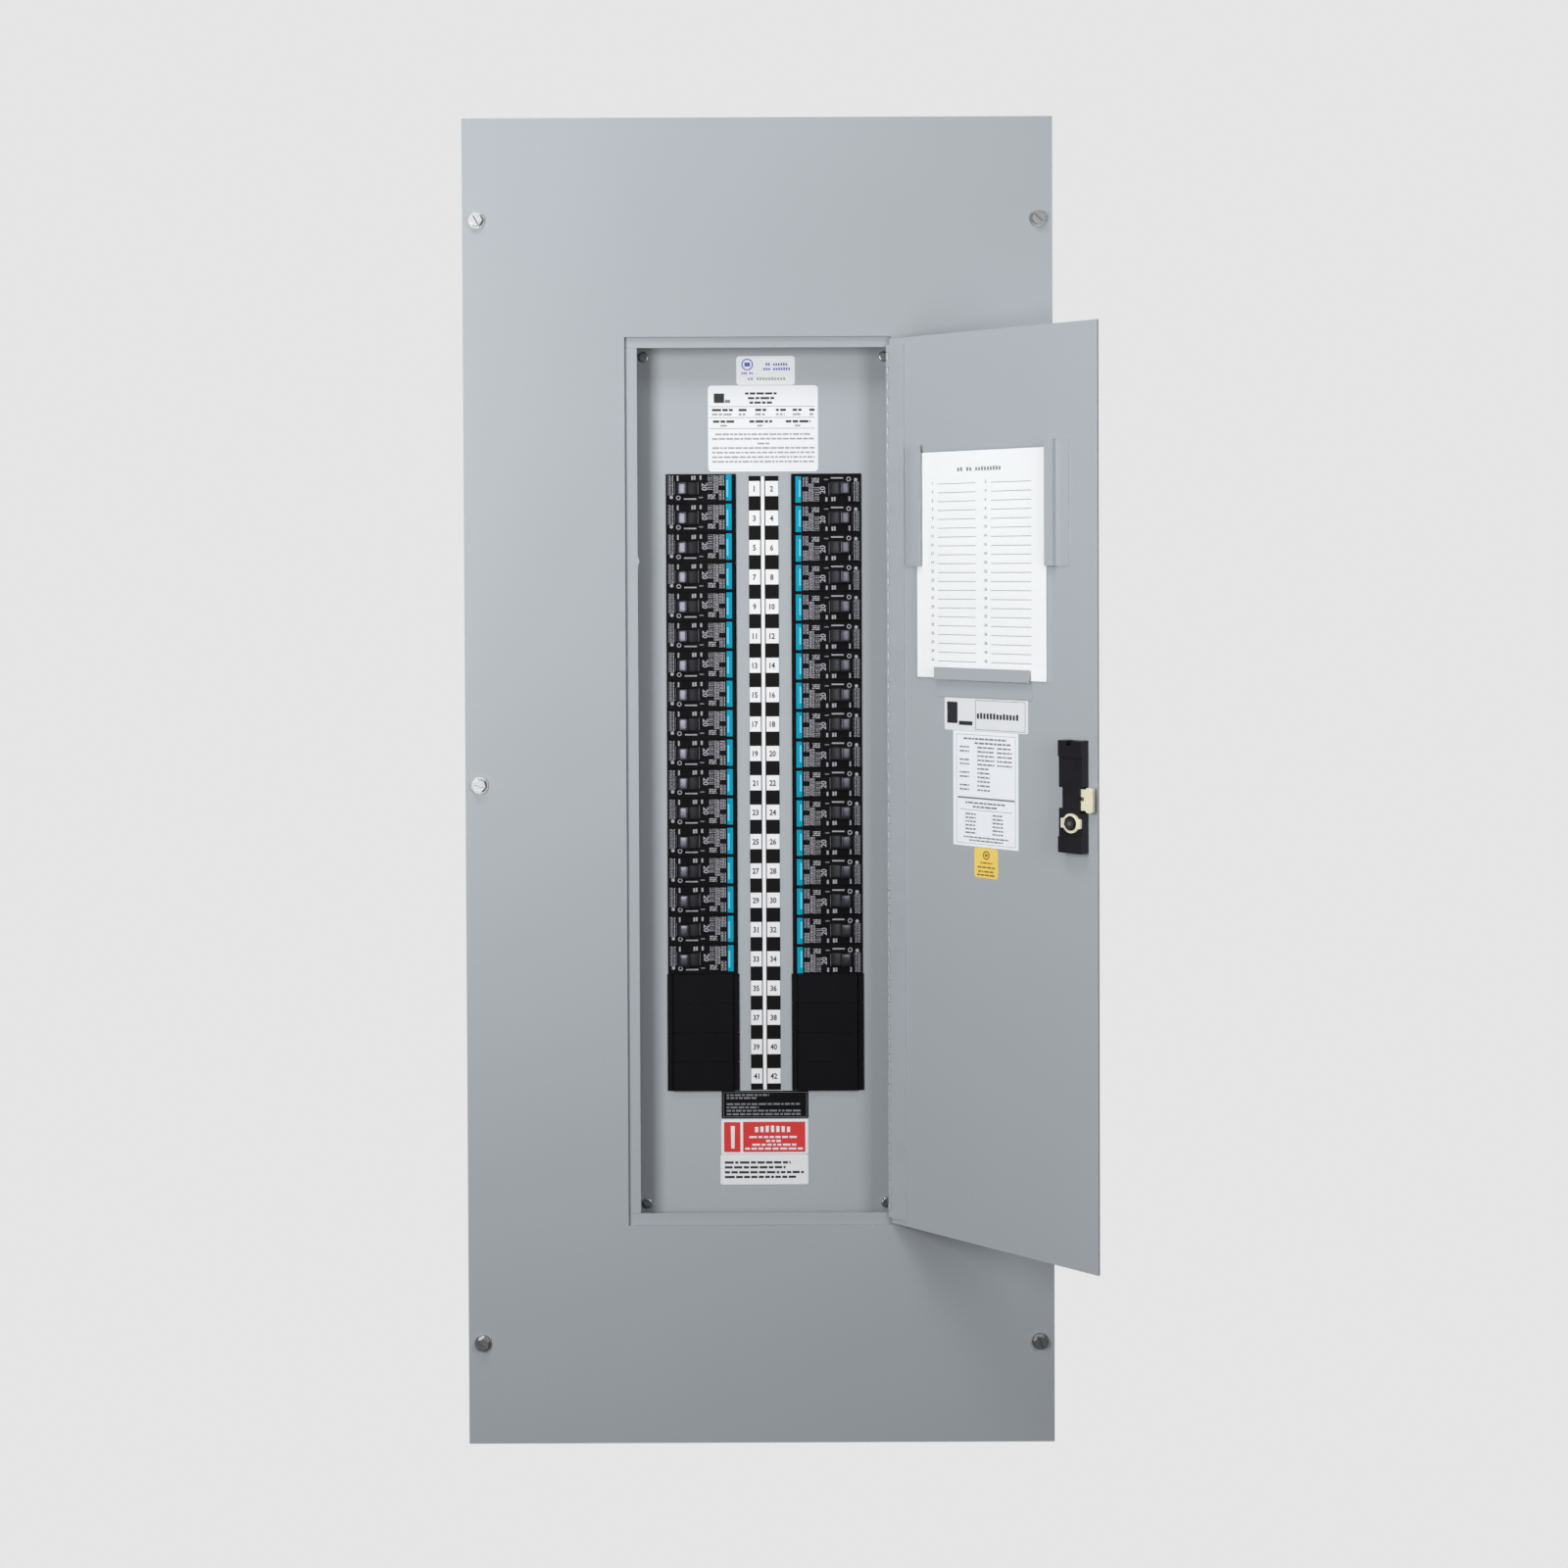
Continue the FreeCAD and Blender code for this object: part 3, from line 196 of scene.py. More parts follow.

# Where an edge colour below is lighter than its finish, it is a painted edge highlight; the zinc's darker
# edges and the hinge's bare ones are wear.
LOOKS = {
    "grey_paint": look("grey_paint", PAINT, 0.42, drift=0.018, patch=3.0, grain=420.0, bump=0.22,
                       edge_wear_and_highlight=scaled(PAINT, 1.35)[:3], edge_band_size=0.5),
    # painted light: the door and cover paints are grey_paint made 8 and 7 per cent lighter, standing in for
    # the stronger light on the door and the cover
    "door_paint_with_painted_light": look("door_paint_with_painted_light", scaled(PAINT, 1.08)[:3], 0.42, drift=0.018, patch=3.0, grain=420.0,
                       bump=0.22, edge_wear_and_highlight=scaled(PAINT, 1.4)[:3], edge_band_size=0.5),
    "cover_paint_with_painted_light": look("cover_paint_with_painted_light", scaled(PAINT, 1.07)[:3], 0.38, drift=0.022, patch=4.0,
                        grain=420.0, bump=0.22, edge_wear_and_highlight=scaled(PAINT, 1.3)[:3], edge_band_size=0.5),
    "galvanised": look("galvanised", BARE, 0.5, metal=0.45, bump=0.12, spangle=90.0),
    "pan_steel": look("pan_steel", BARE, 0.45, metal=0.85, drift=0.06, bump=0.12, spangle=120.0),
    "zinc": look("zinc", (0.50, 0.51, 0.52), 0.38, metal=1.0, drift=0.08, patch=60.0, grain=900.0,
                 bump=0.15, edge_wear_and_highlight=(0.35, 0.33, 0.28), edge_band_size=0.3),
    "hinge_steel": look("hinge_steel", scaled(PAINT, 1.1)[:3], 0.3, drift=0.03, patch=30.0,
                        edge_wear_and_highlight=BARE, edge_band_size=0.4),
    "case_black": look("case_black", (0.005, 0.0045, 0.005), 0.5, drift=0.15, patch=40.0, sheen=0.1,
                       grain=1200.0, bump=0.25, edge_wear_and_highlight=(0.03, 0.03, 0.033), edge_band_size=0.35),
    "handle_black": look("handle_black", (0.012, 0.012, 0.016), 0.3, drift=0.15, patch=60.0,
                         grain=900.0, bump=0.05, sheen=1.0, tint=(0.80, 0.82, 1.0)),
    "barrel_black": look("barrel_black", (0.022, 0.021, 0.025), 0.5, drift=0.15, patch=60.0,
                         grain=900.0, bump=0.1, sheen=0.35),
    "filler_black": look("filler_black", (0.005, 0.0045, 0.006), 0.55, drift=0.15, patch=30.0,
                         sheen=0.12, grain=1500.0, bump=0.35, edge_wear_and_highlight=(0.035, 0.035, 0.04), edge_band_size=0.4),
    "latch_black": look("latch_black", (0.016, 0.015, 0.019), 0.34, drift=0.15, patch=50.0,
                        sheen=0.35, grain=900.0, bump=0.1, edge_wear_and_highlight=(0.06, 0.06, 0.065), edge_band_size=0.4),
    "cream": look("cream", (0.93, 0.88, 0.68), 0.42, drift=0.05, patch=70.0, bump=0.08,
                  edge_wear_and_highlight=(0.95, 0.93, 0.82), edge_band_size=0.4),
    "chrome": look("chrome", (0.62, 0.62, 0.63), 0.16, metal=1.0, drift=0.08, patch=90.0, bump=0.06,
                   edge_wear_and_highlight=(0.85, 0.85, 0.86), edge_band_size=0.3),
    "dark_chrome": look("dark_chrome", (0.22, 0.21, 0.20), 0.2, metal=1.0, drift=0.15, patch=300.0,
                        bump=0.15),
    # painted light: the card glows a little, to reach its brightness under these lamps
    "card": look("card", (0.92, 0.93, 0.94), 0.62, drift=0.012, patch=12.0, grain=1500.0, bump=0.02,
                 painted_glow=0.12),
    "clear": look("clear", (0.86, 0.89, 0.90), 0.3, drift=0.02, patch=20.0, bump=0.0, alpha=0.05,
                  sheen=0.3),
    "copper": look("copper", (0.72, 0.38, 0.24), 0.3, metal=1.0, drift=0.12, patch=25.0, streak=0.15,
                   bump=0.1),
    "red_mould": look("red_mould", (0.33, 0.055, 0.04), 0.5, drift=0.1, patch=30.0, bump=0.15),
    "aluminium": look("aluminium", (0.72, 0.73, 0.74), 0.36, metal=1.0, drift=0.08, patch=40.0,
                      bump=0.12),
    "label_white": look("label_white", (0.90, 0.91, 0.93), 0.4, drift=0.01, patch=20.0, bump=0.04),
    # painted light: this label glows a little, to reach its brightness under these lamps
    "label_cool": look("label_cool", (0.89, 0.91, 0.95), 0.45, drift=0.012, patch=20.0, bump=0.04,
                       painted_glow=0.1),
    "label_black": look("label_black", (0.006, 0.0055, 0.007), 0.45, drift=0.1, patch=20.0, bump=0.05,
                        sheen=0.15),
    "label_red": look("label_red", (0.78, 0.055, 0.05), 0.4, drift=0.03, patch=20.0, bump=0.04),
    # painted light: this label glows a little, to reach its brightness under these lamps
    "label_yellow": look("label_yellow", (0.95, 0.70, 0.17), 0.42, drift=0.03, patch=20.0, bump=0.04,
                         painted_glow=0.06),
    "strip_white": look("strip_white", (0.93, 0.935, 0.945), 0.4, drift=0.01, patch=20.0, bump=0.04),
    "strip_black": look("strip_black", (0.007, 0.006, 0.006), 0.45, drift=0.1, patch=20.0, bump=0.05,
                        sheen=0.15),
    "teal": look("teal", (0.0, 0.37, 0.56), 0.4, drift=0.06, patch=50.0, bump=0.05, sheen=0.15),
    "teal_pale": look("teal_pale", (0.16, 0.70, 0.92), 0.4, drift=0.06, patch=50.0, bump=0.05,
                      sheen=0.2),
    "print_pale": look("print_pale", (0.42, 0.42, 0.46), 0.5, drift=0.05, patch=80.0, bump=0.03),
    "dim_print_and_painted_highlight": look("dim_print_and_painted_highlight", (0.20, 0.20, 0.23), 0.5, drift=0.08, patch=80.0, bump=0.03),
    "ink_dark": look("ink_dark", (0.025, 0.025, 0.03), 0.5, drift=0.1, patch=80.0, bump=0.03),
    "ink_grey": look("ink_grey", (0.26, 0.26, 0.28), 0.5, drift=0.05, patch=80.0, bump=0.03),
    "ink_pale": look("ink_pale", (0.40, 0.405, 0.42), 0.5, drift=0.04, patch=80.0, bump=0.03),
    "ink_blue": look("ink_blue", (0.10, 0.13, 0.50), 0.5, drift=0.06, patch=80.0, bump=0.03),
    "ink_brown": look("ink_brown", (0.30, 0.17, 0.03), 0.5, drift=0.06, patch=80.0, bump=0.03),
}


# ------------------------------------------------------------ thin shapes


def bar(left, right, low, high):
    return [(left, low), (right, low), (right, high), (left, high)]


def rounded(left, right, low, high, radius, steps=5):
    """A rectangle with rounded corners, anticlockwise."""
    corners = (
        (right - radius, low + radius, -90),
        (right - radius, high - radius, 0),
        (left + radius, high - radius, 90),
        (left + radius, low + radius, 180),
    )
    points = []
    for a, b, start in corners:
        for step in range(steps + 1):
            angle = math.radians(start + 90 * step / steps)
            points.append((a + radius * math.cos(angle), b + radius * math.sin(angle)))
    return points


def oval(a, b, wide, tall, sides=28, start=0.0):
    """An ellipse of half width wide and half height tall, from the angle start in degrees."""
    turns = [math.radians(start) + 2 * math.pi * n / sides for n in range(sides)]
    return [(a + wide * math.cos(t), b + tall * math.sin(t)) for t in turns]


DIGITS = {}
DIGIT_WEIGHT = 0.022

# the part of its step that a letter block fills, and the share of steps left empty
LETTER_SHARE = 0.62
LETTER_GAPS = 0.08


def digit_mesh(text):
    """Solid digits, one unit high and one deep, centred on their middle."""
    if text not in DIGITS:
        curve = bpy.data.curves.new("digits", "FONT")
        curve.body = text
        curve.size = 1.0
        curve.extrude = 0.5
        curve.offset = DIGIT_WEIGHT
        curve.resolution_u = 3
        holder = bpy.data.objects.new("digits", curve)
        bpy.context.scene.collection.objects.link(holder)
        bpy.context.view_layer.update()
        mesh = bpy.data.meshes.new_from_object(holder)
        bpy.data.objects.remove(holder)
        points = [v.co.copy() for v in mesh.vertices]
        low = Vector([min(p[axis] for p in points) for axis in range(3)])
        high = Vector([max(p[axis] for p in points) for axis in range(3)])
        middle = (low + high) / 2
        tall = high.y - low.y
        points = [Vector(((p.x - middle.x) / tall, (p.y - middle.y) / tall, p.z + 0.5)) for p in points]
        DIGITS[text] = (points, [tuple(face.vertices) for face in mesh.polygons])
        bpy.data.meshes.remove(mesh)
    return DIGITS[text]


class Sheet:
    """Closed shapes standing on one plane, gathered into a single mesh with several looks."""

    def __init__(self, plane):
        self.plane = plane
        self.work = bmesh.new()
        self.looks = []

    def number_of(self, name):
        if name not in self.looks:
            self.looks.append(name)
        return self.looks.index(name)

    def faces(self, loops, name):
        number = self.number_of(name)
        for loop in loops:
            self.work.faces.new(loop).material_index = number

    def level(self, outline, height):
        return [self.work.verts.new(self.plane.at(a, b, height)) for a, b in outline]

    def shape(self, outline, name, layer=INK):
        """A solid over the outline, between the layer's two heights."""
        low = self.level(outline, layer[0])
        high = self.level(outline, layer[1])
        loops = [high, low[::-1]]
        for n in range(len(outline)):
            loops.append([low[n - 1], low[n], high[n], high[n - 1]])
        self.faces(loops, name)

    def ring(self, outer, inner, name, layer=INK):
        """A solid between two outlines that have the same number of points."""
        rings = [self.level(outline, h) for outline in (outer, inner) for h in layer]
        outer_low, outer_high, inner_low, inner_high = rings
        loops = []
        for n in range(len(outer)):
            m = n - 1
            loops.append([outer_high[m], outer_high[n], inner_high[n], inner_high[m]])
            loops.append([outer_low[n], outer_low[m], inner_low[m], inner_low[n]])
            loops.append([outer_low[m], outer_low[n], outer_high[n], outer_high[m]])
            loops.append([inner_low[n], inner_low[m], inner_high[m], inner_high[n]])
        self.faces(loops, name)

    def frame(self, left, right, low, high, width, name, layer=INK):
        """A thin rectangular line."""
        inner = bar(left + width, right - width, low + width, high - width)
        self.ring(bar(left, right, low, high), inner, name, layer)

    def digits(self, text, a, b, tall, name, layer=INK, turn=0, narrow=1.0):
        """Digits centred at a, b, turned anticlockwise by so many degrees."""
        points, loops = digit_mesh(text)
        cos, sin = math.cos(math.radians(turn)), math.sin(math.radians(turn))
        corners = []
        for p in points:
            x, y = p.x * tall * narrow, p.y * tall
            height = layer[0] + p.z * (layer[1] - layer[0])
            spot = self.plane.at(a + x * cos - y * sin, b + x * sin + y * cos, height)
            corners.append(self.work.verts.new(spot))
        self.faces([[corners[n] for n in loop] for loop in loops], name)

    def words(self, start, end, middle, tall, name, seed, layer=INK, upright=False, gap=0.7):
        """Plain word-length bars from start to end along a line, standing for small lettering."""
        dice = random.Random(seed)
        spot = start
        while spot < end - 0.4 * tall:
            length = min(tall * dice.uniform(1.2, 4.5), end - spot)
            span = [spot, spot + length, middle - tall / 2, middle + tall / 2]
            if upright:
                span = span[2:] + span[:2]
            self.shape(bar(*span), name, layer)
            spot += length + tall * gap

    def letters(self, start, end, middle, tall, count, name, seed, layer=INK):
        """Plain letter-sized blocks, standing for larger lettering."""
        dice = random.Random(seed)
        step = (end - start) / count
        for n in range(count):
            if dice.random() < LETTER_GAPS:
                continue
            left = start + n * step
            short = tall * dice.uniform(0.0, 0.25)
            right = left + step * LETTER_SHARE
            self.shape(bar(left, right, middle - tall / 2, middle + tall / 2 - short), name, layer)

    def mesh(self, name):
        self.work.faces.ensure_lookup_table()
        bmesh.ops.recalc_face_normals(self.work, faces=self.work.faces)
        mesh = bpy.data.meshes.new(name)
        self.work.to_mesh(mesh)
        self.work.free()
        for entry in self.looks:
            mesh.materials.append(LOOKS[entry])
        return mesh

    def piece(self, name, body, slot):
        return place_piece(name, self.mesh(name), body)


def place_piece(name, mesh, body, matrix=None):
    """An object of that mesh, riding on a CAD body."""
    piece = bpy.data.objects.new(name, mesh)
    bpy.context.scene.collection.objects.link(piece)
    if matrix:
        piece.matrix_world = matrix
    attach(piece, body)
    return piece


# ----------------------------------------------------------- number strip
# Circuit numbers 1 to 42 in two columns, black between the numbers, a white line between the columns.

STRIP_TOP = 262.4
STRIP_LOW = -268.6
LEFT_COLUMN = (-12.8, -2.9)
RIGHT_COLUMN = (1.4, 12.9)
MIDDLE_LINE = (-2.3, 0.8)
NUMBER_BOX_TALL = 13.1
DIGIT_TALL = 4.9


def build_number_strip():
    strip = Sheet(COVER)
    base = (-0.02, 0.35)
    card = (0.30, 0.42)
    ink = (0.40, 0.46)
    strip.shape(bar(LEFT_COLUMN[0], RIGHT_COLUMN[1], STRIP_LOW, STRIP_TOP), "strip_black", base)
    strip.shape(bar(*MIDDLE_LINE, STRIP_LOW + 0.3, STRIP_TOP - 0.3), "strip_white", card)
    for row in range(ALL_ROWS):
        z = (ROW_TOP - row * ROW_PITCH) / MM
        low, high = z - NUMBER_BOX_TALL / 2, z + NUMBER_BOX_TALL / 2
        for side, column in enumerate((LEFT_COLUMN, RIGHT_COLUMN)):
            strip.shape(bar(column[0] + 0.1, column[1] - 0.1, low, high), "strip_white", card)
            text = str(2 * row + side + 1)
            centre = sum(column) / 2 - 0.2
            strip.digits(text, centre, z - 0.2, DIGIT_TALL, "ink_dark", ink, narrow=0.86)
    strip.piece("number_strip", "enclosure", "card_paper")


# ---------------------------------------------------------- breaker faces
# One printed face, placed on each of the 34 breakers, and turned half round on the right bank.


def build_breaker_print():
    face = Sheet(Plane((0, 0, 0), (1, 0, 0), (0, 0, 1)))
    pale, dim = "print_pale", "dim_print_and_painted_highlight"
    for line, middle in enumerate((-82.0, -80.7, -79.4, -78.1)):
        face.words(-5.6, 11.4, middle, 0.72, pale if line % 2 else dim, 20 + line, PRINT, True)
    face.shape(oval(-79.4, -7.3, 1.5, 1.5, 20), pale, PRINT)
    face.shape(bar(-74.6, -73.2, 6.9, 11.2), pale, PRINT)
    face.shape(bar(-62.1, -60.6, 7.5, 11.0), pale, PRINT)
    face.shape(bar(-60.1, -58.4, 7.7, 11.2), pale, PRINT)
    face.shape(bar(-55.0, -53.3, 7.8, 11.3), pale, PRINT)
    face.digits("20", -50.8, 1.6, 4.9, pale, PRINT, turn=-90)
    for row in range(9):
        b = 11.0 - 1.45 * row
        face.words(-48.0, -43.7, b, 0.62, pale if row % 3 else dim, 40 + row, PRINT)
    for line, middle in enumerate((-42.8, -41.6, -40.4, -39.4)):
        face.words(-4.0, 11.4, middle, 0.66, pale, 60 + line, PRINT, True)
    for row in range(3):
        face.words(-47.9, -41.4, -5.4 - 1.5 * row, 0.95, pale, 70 + row, PRINT)
    for line, middle in enumerate((-37.9, -36.7, -35.5, -34.2)):
        face.words(2.8, 11.4, middle, 0.7, pale, 80 + line, PRINT, True)
        face.words(-9.6, -1.4, middle, 0.7, dim if line == 2 else pale, 90 + line, PRINT, True)
    face.ring(oval(-73.3, -7.8, 2.0, 2.0, 20), oval(-73.3, -7.8, 1.2, 1.2, 20), pale, PRINT)
    face.shape(bar(-68.6, -58.0, -9.4, -8.2), pale, PRINT)
    face.shape(oval(-53.9, -7.5, 2.1, 0.6, 20), dim, PRINT)
    # painted highlights: two thin lighter lines along the edges of the handle's window
    face.shape(bar(-76.7, -76.35, -4.8, 6.2), dim, PRINT)
    face.shape(bar(-56.6, -56.25, -4.6, 6.0), dim, PRINT)
    strip = (-0.02, 0.10)
    face.shape(bar(-32.4, -27.5, -10.3, 12.3), "teal", strip)
    face.shape(bar(-32.0, -30.4, -7.0, 7.5), "teal_pale", (0.06, 0.13))
    mesh = face.mesh("breaker_print")
    for row in range(BREAKER_ROWS):
        spot = Matrix.Translation((CENTRE_X, FACE_Y, ROW_TOP - row * ROW_PITCH))
        for side in (0, 1):
            turned = spot @ Matrix.Rotation(math.pi * side, 4, "Y")
            name = f"breaker_print_{2 * row + side + 1:02d}"
            place_piece(name, mesh, "enclosure", turned)


# ------------------------------------------------------- labels on the cover


def paragraph(sheet, lines, tall, name, seed, layer=INK):
    """Lines of word bars, each given as (middle height, left, right)."""
    for n, (b, left, right) in enumerate(lines):
        sheet.words(left, right, b, tall, name, seed + n, layer)


def build_listing_label():
    label = Sheet(COVER)
    label.shape(rounded(-23.0, 27.4, 340.7, 365.6, 2.5), "label_white", PAPER)
    label.ring(oval(-13.6, 358.3, 5.0, 5.0), oval(-13.6, 358.3, 4.1, 4.1), "ink_blue")
    label.shape(bar(-16.0, -11.2, 356.6, 360.0), "ink_blue")
    label.letters(-18.4, -8.4, 350.9, 2.0, 6, "ink_blue", 3)
    label.letters(2.4, 21.6, 358.5, 2.4, 9, "ink_blue", 4)
    label.letters(0.4, 24.0, 354.6, 2.4, 11, "ink_blue", 5)
    label.letters(-13.0, 20.0, 346.1, 2.6, 13, "ink_pale", 6)
    label.piece("listing_label", "enclosure", "card_paper")


def build_rating_label():
    label = Sheet(COVER)
    label.shape(rounded(-47.6, 47.2, 266.1, 340.3, 3.0), "label_white", PAPER)
    label.shape(bar(-42.4, -33.6, 325.4, 333.4), "ink_dark")
    label.shape(bar(-33.0, -28.4, 325.4, 328.0), "ink_grey")
    paragraph(label, [(333.4, -15.5, 11.6), (329.4, -13.0, 9.5), (325.5, -11.6, 7.6)], 1.7, "ink_dark", 100)
    for b in (322.2, 312.7, 303.3):
        label.shape(bar(-46.0, 44.6, b - 0.18, b + 0.18), "ink_grey")
    columns = ((-44.0, -26.2), (-21.1, -14.3), (-6.7, 2.6), (11.1, 19.6), (25.5, 33.1), (39.9, 44.2))
    for n, (left, right) in enumerate(columns):
        label.words(left, right, 319.2, 1.8, "ink_dark", 110 + n)
        label.words(left, right - 1.0, 315.4, 1.6, "ink_pale", 120 + n)
    for n, (left, right) in enumerate(((-43.1, -24.5), (-11.8, 7.7), (19.6, 40.8))):
        label.words(left, right, 309.3, 1.8, "ink_dark", 130 + n)
        label.words((left + right) / 2 - 3.0, (left + right) / 2 + 3.0, 305.7, 1.5, "ink_pale", 140 + n)
    body = [(298.3, -41.4, 40.8), (294.4, -44.0, 44.2), (290.3, -5.0, 5.2)]
    body += [(286.5 - 3.93 * n, -44.0, 44.2) for n in range(4)]
    paragraph(label, body, 1.35, "ink_pale", 150)
    label.piece("rating_label", "enclosure", "card_paper")


def build_black_label():
    label = Sheet(COVER)
    label.shape(rounded(-38.4, 36.8, -293.4, -269.5, 1.2), "label_black", PAPER)
    label.frame(-36.9, 35.3, -292.3, -270.7, 0.3, "ink_grey")
    lines = [(-273.2, -34.0, 2.7), (-275.8, -34.0, -8.2), (-281.0, -34.0, 29.3)]
    lines += [(-283.9, -34.0, -6.4), (-286.8, -34.0, 31.2), (-289.8, -34.0, 29.9)]
    paragraph(label, lines, 1.5, "ink_grey", 200)
    label.piece("black_label", "enclosure", "card_paper")


def build_red_label():
    label = Sheet(COVER)
    label.shape(rounded(-38.8, 36.4, -324.5, -294.2, 1.0), "label_white", PAPER)
    red = (0.08, 0.15)
    white = (0.12, 0.19)
    label.shape(bar(-36.4, -22.3, -322.7, -296.7), "label_red", red)
    label.shape(bar(-19.9, 33.9, -322.7, -296.5), "label_red", red)
    label.shape([(-30.2, -319.5), (-27.4, -319.5), (-27.0, -300.0), (-30.6, -300.0)], "label_white", white)
    label.letters(-9.6, 22.6, -302.5, 6.0, 7, "label_white", 8, white)
    lines = [(-309.7, -14.6, 28.4), (-313.1, 0.0, 13.8), (-316.4, -12.0, 26.2), (-319.8, -18.2, 31.8)]
    paragraph(label, lines, 1.8, "label_white", 220, white)
    label.piece("red_label", "enclosure", "card_paper")


def build_note_label():
    label = Sheet(COVER)
    label.shape(rounded(-39.6, 36.4, -350.9, -324.9, 1.6), "label_white", PAPER)
    lines = [(-331.8, -35.8, 21.1), (-336.0, -35.8, 16.7), (-340.3, -35.8, 32.5), (-344.4, -35.8, 25.7)]
    paragraph(label, lines, 1.9, "ink_dark", 240)
    label.piece("note_label", "enclosure", "card_paper")


# -------------------------------------------------- inside face of the door


CARD_FIRST_LINE = 252.3
CARD_LAST_LINE = 105.1


def build_card_print():
    """The directory's heading and its 42 ruled, numbered lines, on the card and under its window."""
    card = Sheet(DOOR)
    ink = (1.38, 1.44)
    card.letters(79.0, 95.6, 264.0, 3.4, 5, "ink_grey", 12, ink)
    card.letters(98.6, 126.4, 264.0, 3.4, 9, "ink_grey", 14, ink)
    pitch = (CARD_FIRST_LINE - CARD_LAST_LINE) / (ALL_ROWS - 1)
    for row in range(ALL_ROWS):
        z = CARD_FIRST_LINE - pitch * row
        for side, (left, right) in enumerate(((57.6, 98.8), (115.2, 157.2))):
            card.shape(bar(left, right, z - 0.25, z + 0.25), "ink_pale", ink)
            card.digits(str(2 * row + side + 1), left - 5.8, z + 1.0, 2.4, "ink_grey", ink)
    card.piece("card_print", "door", "card_paper")


def build_door_label():
    label = Sheet(DOOR)
    label.shape(rounded(63.4, 152.3, 48.2, 75.2, 1.0), "label_white", PAPER)
    label.shape(bar(66.4, 77.5, 54.0, 71.6), "ink_dark")
    label.shape(bar(79.3, 93.6, 52.8, 56.0), "ink_dark")
    label.frame(97.0, 149.6, 49.4, 73.8, 0.35, "ink_grey")
    label.letters(98.6, 147.0, 61.2, 5.0, 14, "ink_dark", 18)
    label.piece("door_label", "door", "card_paper")


def build_schedule_label():
    label = Sheet(DOOR)
    label.shape(rounded(72.7, 142.2, -46.9, 48.0, 0.8), "label_cool", PAPER)
    label.frame(76.4, 139.5, -44.6, 45.3, 0.3, "ink_pale")
    paragraph(label, [(41.9, 84.0, 130.0), (38.4, 96.0, 134.0)], 1.4, "ink_grey", 300)
    for row in range(11):
        z = 34.9 - 3.5 * row
        if row % 3 != 2:
            label.words(80.0, 90.0, z, 1.2, "ink_grey", 310 + row)
        label.words(99.0, 112.0 + 5.0 * (row < 5), z, 1.2, "ink_grey", 330 + row)
        if row < 5:
            label.words(120.0, 135.5, z, 1.2, "ink_grey", 350 + row)
    label.shape(bar(77.6, 138.4, -7.6, -6.3), "ink_grey")
    paragraph(label, [(-10.9, 86.0, 128.0), (-14.1, 94.0, 120.0)], 1.3, "ink_grey", 370)
    label.shape(bar(80.0, 136.0, -17.0, -16.6), "ink_pale")
    for row in range(6):
        z = -20.2 - 3.1 * row
        label.words(86.0, 97.0, z, 1.15, "ink_grey", 380 + row)
        label.words(115.0, 126.0, z, 1.15, "ink_grey", 390 + row)
    paragraph(label, [(-39.3, 84.0, 132.0), (-41.9, 90.0, 126.0)], 1.1, "ink_grey", 400)
    label.piece("schedule_label", "door", "card_paper")


def build_yellow_label():
    label = Sheet(DOOR)
    label.shape(rounded(95.4, 120.6, -72.2, -47.4, 2.2), "label_yellow", PAPER)
    label.ring(oval(108.2, -53.3, 3.6, 3.6), oval(108.2, -53.3, 2.6, 2.6), "ink_brown")
    label.shape(bar(106.8, 109.6, -54.4, -52.2), "ink_brown")
    lines = [(-59.6, 102.0, 114.5), (-63.2, 99.0, 117.4), (-66.7, 99.6, 116.6), (-69.6, 98.4, 118.0)]
    paragraph(label, lines, 1.2, "ink_brown", 420)
    label.piece("yellow_label", "door", "card_paper")


# ---------------------------------------------------------- latch and lock
# Heights on the door plane: 0 is the inner face, and the sheet's outer face is below it.

LOCK_LOW = -4.8
CAM_LAYER = (8.3, 10.3)
BOLT_LAYER = (3.4, 6.6)
BOLT_ENDS = (205.8, 222.0)


def build_lock():
    """The cream cam with its two ears, the chrome nut on it and the keyed plug outside the door."""
    lock = Sheet(DOOR)
    t, z = LOCK_T, LOCK_Z
    sides = 48
    edge = [(9.4, -3.8), (9.8, -3.3), (9.8, 3.3), (9.4, 3.8)]
    edge += [(7.8 * math.cos(math.radians(a)), 7.8 * math.sin(math.radians(a))) for a in range(30, 151, 8)]
    edge += [(-a, -b) for a, b in edge]
    inner = [(5.8 * a / math.hypot(a, b), 5.8 * b / math.hypot(a, b)) for a, b in edge]
    outlines = [[(t + a, z + b) for a, b in outline] for outline in (edge, inner)]
    lock.ring(*outlines, "cream", CAM_LAYER)
    lock.ring(oval(t, z, 6.6, 6.6, sides), oval(t, z, 5.9, 5.9, sides), "cream", (CAM_LAYER[1] - 0.05, 10.7))
    lock.shape(oval(t, z, 5.75, 5.75, 36), "dark_chrome", (8.15, 10.45))
    lock.shape(oval(t, z, 5.5, 5.5, 6, 12.0), "dark_chrome", (10.4, 11.7))
    lock.ring(oval(t, z, 3.6, 3.6, 24), oval(t, z, 2.3, 2.3, 24), "chrome", (11.65, 12.1))
    # painted highlight: a lighter zinc disc on the nut's middle, where the nut's highlight falls, lit by the
    # lamps
    lock.shape(oval(t, z, 1.7, 1.7, 24), "zinc", (11.6, 12.0))
    lock.shape(oval(t, z, 5.44, 5.44, 36), "chrome", (LOCK_LOW + 1.6, 8.05))
    keyway = rounded(t - 0.7, t + 0.7, z - 3.2, z + 3.2, 0.3, 8)
    lock.ring(oval(t, z, 5.44, 5.44, 36, -85.0), keyway, "chrome", (LOCK_LOW, LOCK_LOW + 1.65))
    return lock.piece("lock_set", "lock", "lock_chrome")


